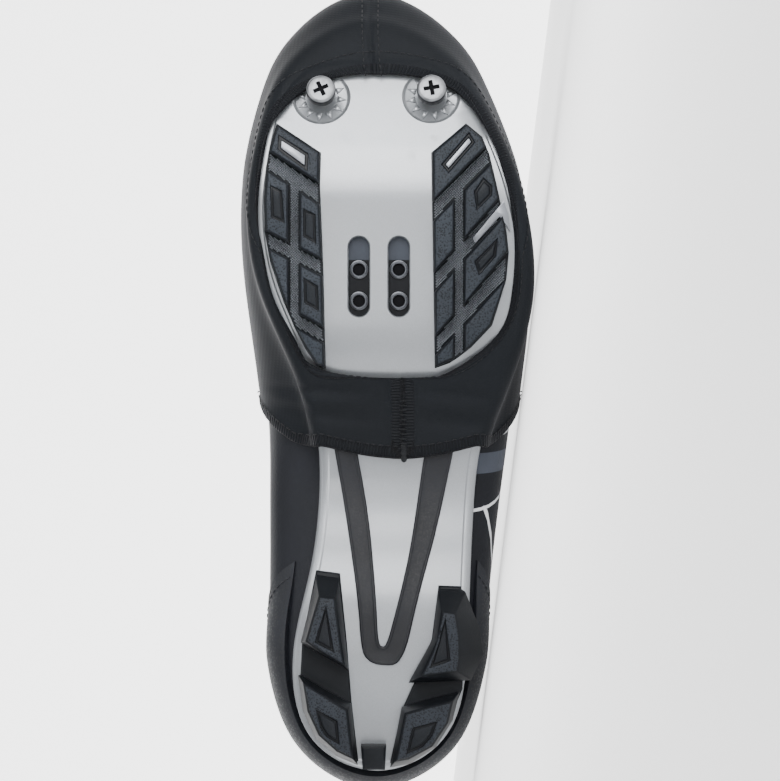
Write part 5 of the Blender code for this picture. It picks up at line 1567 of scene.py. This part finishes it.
def upperMaterial():
    look = upperLook
    made, tree, shader, place = material("upperFabric", {
        "Base Color": look["colour"], "Specular IOR Level": 0.18, "Roughness": look["roughness"]})
    where = put(tree, "ShaderNodeAttribute", {"attribute_name": "shoePlace"}).outputs["Vector"]
    seam = put(tree, "ShaderNodeAttribute", {"attribute_name": "seamPlace"}).outputs["Vector"]
    side = put(tree, "ShaderNodeSeparateXYZ", wires={0: where}).outputs["Y"]
    outer = put(tree, "ShaderNodeSeparateXYZ", wires={0: seam}).outputs["Z"]
    shown = sums(tree, "MULTIPLY", band(tree, side, 0.010, 0.011), band(tree, outer, 0.6, 0.9))
    pits = use(tree, grain, {"Scale": 1100.0, "Fine": 0.25}, {"Vector": place})
    slow = use(tree, wear, {"Scale": 26.0, "Low": 0.88, "High": 1.12}, {"Vector": place})
    outside = band(tree, outer, 0.4, 0.6)
    colour = blend(tree, outside, (*look["lining"], 1.0), (*look["colour"], 1.0))
    for prints, paint in ((greyPrints, look["grey"]), (whitePrints, look["white"])):
        mask = sums(tree, "MULTIPLY", printedMask(tree, where, prints), shown)
        colour = blend(tree, mask, colour, (*paint, 1.0))
    tree.links.new(toned(tree, colour, slow.outputs["Tone"]), shader.inputs["Base Color"])
    loops = use(tree, knit, {"Scale": 420.0}, {"Vector": place})
    bump(tree, shader, blend(tree, outside, loops.outputs["Height"], pits.outputs["Height"]), 0.00009, 0.7)
    return made


upperTurns = spread(0, loopRows, upperLook["columnsPerRow"] * loopRows + 1)[:-1]
upperPoints = np.array([[tuple(last.point(t, v)) for v in profile] for t in upperTurns])
upperOut = np.array([[tuple(last.normal(t, min(v, 1.98))) for v in profile] for t in upperTurns])
fromTop = runs(upperPoints, 1)[:, -1:] - runs(upperPoints, 1)


def upperPiece():
    columns = []
    for i, t in enumerate(upperTurns):
        fade = min(max(throatRow - 0.3 - last.row(t), 0), 1)
        length = (last.point(t, 2) - last.point(t, 1)).length
        column = []
        for j, v in enumerate(profile):
            near = min(max(1 - (2 - v) * length / upperLook["padDepth"], 0), 1)
            pad = fade * near * near * (3 - 2 * near)
            depth = upperLook["wall"] + (upperLook["collarWall"] - upperLook["wall"]) * pad
            column.append((last.point(t, v), depth, 0.3 * depth if v == profile[-1] else 0.0, t, fromTop[i, j]))
        columns.append(column)
    item = workPiece("shoeUpper", thicken(surface(columns, closed=True)))
    return settle(item, upperMaterial(), "upper_fabric", "upper", smooth=60)


upperPiece()
threadDark = threadMaterial("threadDark", (0.010, 0.011, 0.014))


def rise(points, normals, height):
    return [Vector(point) + Vector(normal).normalized() * height for point, normal in zip(points, normals)]


stitchSize = {"Step": 0.0026, "Length": 0.0021, "Width": 0.00050, "Height": 0.00034}


def collarStitches():  # two rows of stitching round the collar, from one side of the throat to the other
    ahead = int((throatRow - 0.6) * upperLook["columnsPerRow"])
    order = list(range(-ahead, ahead + 1))
    for name, goal in (("collarStitch", upperLook["topStitch"]), ("collarStitchLow", upperLook["secondStitch"])):
        rows = [array[order] for array in (upperPoints, upperOut, fromTop)]
        points, normals = along(*rows, goal, 1)
        stitches(name, rise(points, normals, 0.00005), normals, stitchSize, threadDark, "upper_fabric")


collarStitches()

# front edge of the counter: height on the last, and how many rows forward it reaches
counterFront = ((1 / 3, 4.10), (2 / 3, 3.85), (1, 3.45), (1.2, 3.05), (1.4, 2.55), (1.6, 1.95))
counter = {"wall": 0.0014, "gap": 0.0009, "least": 0.0007, "feather": 0.22, "columns": 97, "rows": 20,
           "stitchInset": 0.955, "stitchRows": 30}


def heelCounter():
    reach = levelCurve(counterFront)
    levels = spread(counterFront[0][0], counterFront[-1][0], counter["rows"])
    columns = []
    thicker = counter["gap"] + counter["wall"] - counter["least"]
    for share in spread(-1, 1, counter["columns"]):
        column = []
        for v in levels:
            edge = min((1 - abs(share)) / counter["feather"], 1)  # the front edge thins out onto the upper
            away = counter["least"] + thicker * edge * edge * (3 - 2 * edge)
            point = last.outside(share * reach(v) % loopRows, v, away)
            column.append((point, away - 0.0001, 0.0, share, v))
        columns.append(column)
    made = mouldedRubber("counterPlastic", (0.0048, 0.0056, 0.0080), 0.50, 1000.0, 0.00005)
    piece = settle(workPiece("heelCounter", thicken(surface(columns, closed=False))), made, "counter_plastic",
                   "heel_counter", smooth=50)
    for side in (-1, 1):
        points, normals = [], []
        for v in spread(levels[1], levels[-2], counter["stitchRows"]):
            t = side * counter["stitchInset"] * reach(v) % loopRows
            points.append(last.outside(t, v, counter["least"] + 0.0003))
            normals.append(last.normal(t, v))
        stitches("counterStitch", points, normals, stitchSize, threadDark, "counter_plastic")
    return piece


heelCounter()


insoleColour = (0.035, 0.038, 0.044)


def insolePiece():
    shape = bmesh.new()
    shape.from_mesh(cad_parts["insole"].data)
    bmesh.ops.transform(shape, verts=shape.verts, matrix=lying.inverted())
    made, tree, shader, place = material("insoleFoam", {"Base Color": insoleColour, "Roughness": 0.8})
    loops = use(tree, knit, {"Scale": 300.0}, {"Vector": place})
    tone = use(tree, wear, {"Scale": 30.0, "Low": 0.85, "High": 1.15}, {"Vector": place})
    tree.links.new(toned(tree, insoleColour, tone.outputs["Tone"]), shader.inputs["Base Color"])
    bump(tree, shader, loops.outputs["Height"], 0.0002)
    return settle(workPiece("insoleSheet", shape), made, "insole_foam", "insole", smooth=40)


insolePiece()
print("upper, counter and insole done")

# stitching of the toe cover
threadCover = threadMaterial("threadCover", (0.0048, 0.0056, 0.0072))
bandSeamSize = {"Step": 0.0017, "Length": 0.00055, "Width": 0.0032, "Height": 0.00034}
knotSize = {"Step": 0.0019, "Length": 0.0030, "Width": 0.0024, "Height": 0.0012}


def coverStitch(name, points, normals, lift, settings=stitchSize):
    return stitches(name, rise(points, normals, lift), normals, settings, threadCover, "neoprene")


def coverStitches():
    grid, ways = coverOuter, coverOut
    opening = slice(bandCount, len(grid) - bandCount)
    hem = along(grid[opening], ways[opening], fromHem[opening], cover["hemWidth"] + 0.0004, 1)
    coverStitch("hemStitch", *hem, 0.00015)
    for flip in (1, -1):
        line = along(grid[::flip], ways[::flip], fromToeSeam[::flip], coverLook["toeSeamHalf"], 0, (3, None))
        coverStitch("toeSeamStitch", *line, 0.0003)
    for name, flip in (("rearStitch", 1), ("rearStitchLateral", -1)):
        line = along(grid[::flip], ways[::flip], fromRear[::flip], coverLook["rearHem"], 0, (2, None))
        coverStitch(name, *line, 0.00035)
    coverStitch("bandSeamStitch", grid[:11, -1], ways[:11, -1], -0.0001, bandSeamSize)
    knot = [Vector(grid[0, -1]) + Vector((offset, 0.0004, -0.0003)) for offset in (-0.0002, 0.0018, 0.0038)]
    stitches("bandKnot", knot, [ways[0, -1]] * 3, knotSize, threadCover, "neoprene")


coverStitches()
print("stitching done")


# stage, light and camera
view = {"centre": (0.1400, 0.0039), "distance": 1.2, "height": 0.0065, "lens": 158.0, "sensor": 36.0, "wall": 1.6,
        "world": (0.94, 0.95, 0.96), "worldStrength": 0.62, "wallGlow": 2.6, "floorGlow": 0.7}

out, toe, across = ((lying.to_3x3() @ Vector(way)).normalized() for way in ((0, 0, -1), (1, 0, 0), (0, 1, 0)))
target = lying @ Vector((*view["centre"], view["height"]))

# each light's reach outwards, towards the toe and across, its width, height by width, and power
lights = (
    ("keyPanel", (0.75, 0.55, -0.10), 0.5, 1.0, 9.0),
    ("fillPanel", (0.60, 0.00, -0.80), 0.6, 1.0, 6.0),
    ("stripLight", (1.45, 0.04, -0.052), 0.030, 9.0, 0.5),  # the plate's gloss picks up the strips beside its pads
    ("stripLight", (1.45, 0.04, 0.052), 0.022, 9.0, 0.4),
    ("toeCard", (1.30, 0.50, 0.00), 0.34, 0.7, 3.0),
    ("rimPanel", (0.50, -0.80, 0.00), 0.5, 1.0, 4.0),
)


def stageSheet(name, materialName, size, place, values, glow):
    shape = bmesh.new()
    bmesh.ops.create_grid(shape, x_segments=1, y_segments=1, size=size)
    item = workPiece(name, shape)
    made = material(materialName, {**values, "Emission Color": (1.0, 1.0, 1.0), "Emission Strength": glow})[0]
    item.data.materials.append(made)
    item.location = place
    return item


def softLight(name, reach, width, stretch, power):
    light = bpy.data.lights.new(name, "AREA")
    light.shape = "RECTANGLE"
    light.size, light.size_y = width, width * stretch
    light.energy = power
    lamp = bpy.data.objects.new(name, light)
    lamp.location = target + out * reach[0] + toe * reach[1] + across * reach[2]
    lamp.rotation_euler = (target - lamp.location).to_track_quat("-Z", "Y").to_euler()
    bpy.context.scene.collection.objects.link(lamp)
    return lamp


stageSheet("floor", "paleFloor", 3.0, (0, 0, boundsBefore[0].z - 0.0005),
           {"Base Color": (0.86, 0.86, 0.86), "Roughness": 0.9, "Specular IOR Level": 0.2}, view["floorGlow"])
backWall = stageSheet("backWall", "whiteWall", 4.0, target - out * view["wall"],
                      {"Base Color": (0.9, 0.9, 0.9), "Roughness": 1.0}, view["wallGlow"])
backWall.rotation_euler = out.to_track_quat("Z", "Y").to_euler()
world = bpy.data.worlds.new("whiteRoom")
bpy.context.scene.world = world
world.use_nodes = True
world.node_tree.nodes["Background"].inputs["Color"].default_value = (*view["world"], 1.0)
world.node_tree.nodes["Background"].inputs["Strength"].default_value = view["worldStrength"]

camera = bpy.data.objects.new("camera", bpy.data.cameras.new("camera"))
camera.data.lens = view["lens"]
camera.data.sensor_width = view["sensor"]
camera.location = target + out * view["distance"]
camera.rotation_euler = Matrix((across, toe, out)).transposed().to_euler()
bpy.context.scene.collection.objects.link(camera)
bpy.context.scene.camera = camera

for entry in lights:
    lamp = softLight(*entry)
    if entry[0] == "stripLight":
        lamp.rotation_euler = camera.rotation_euler
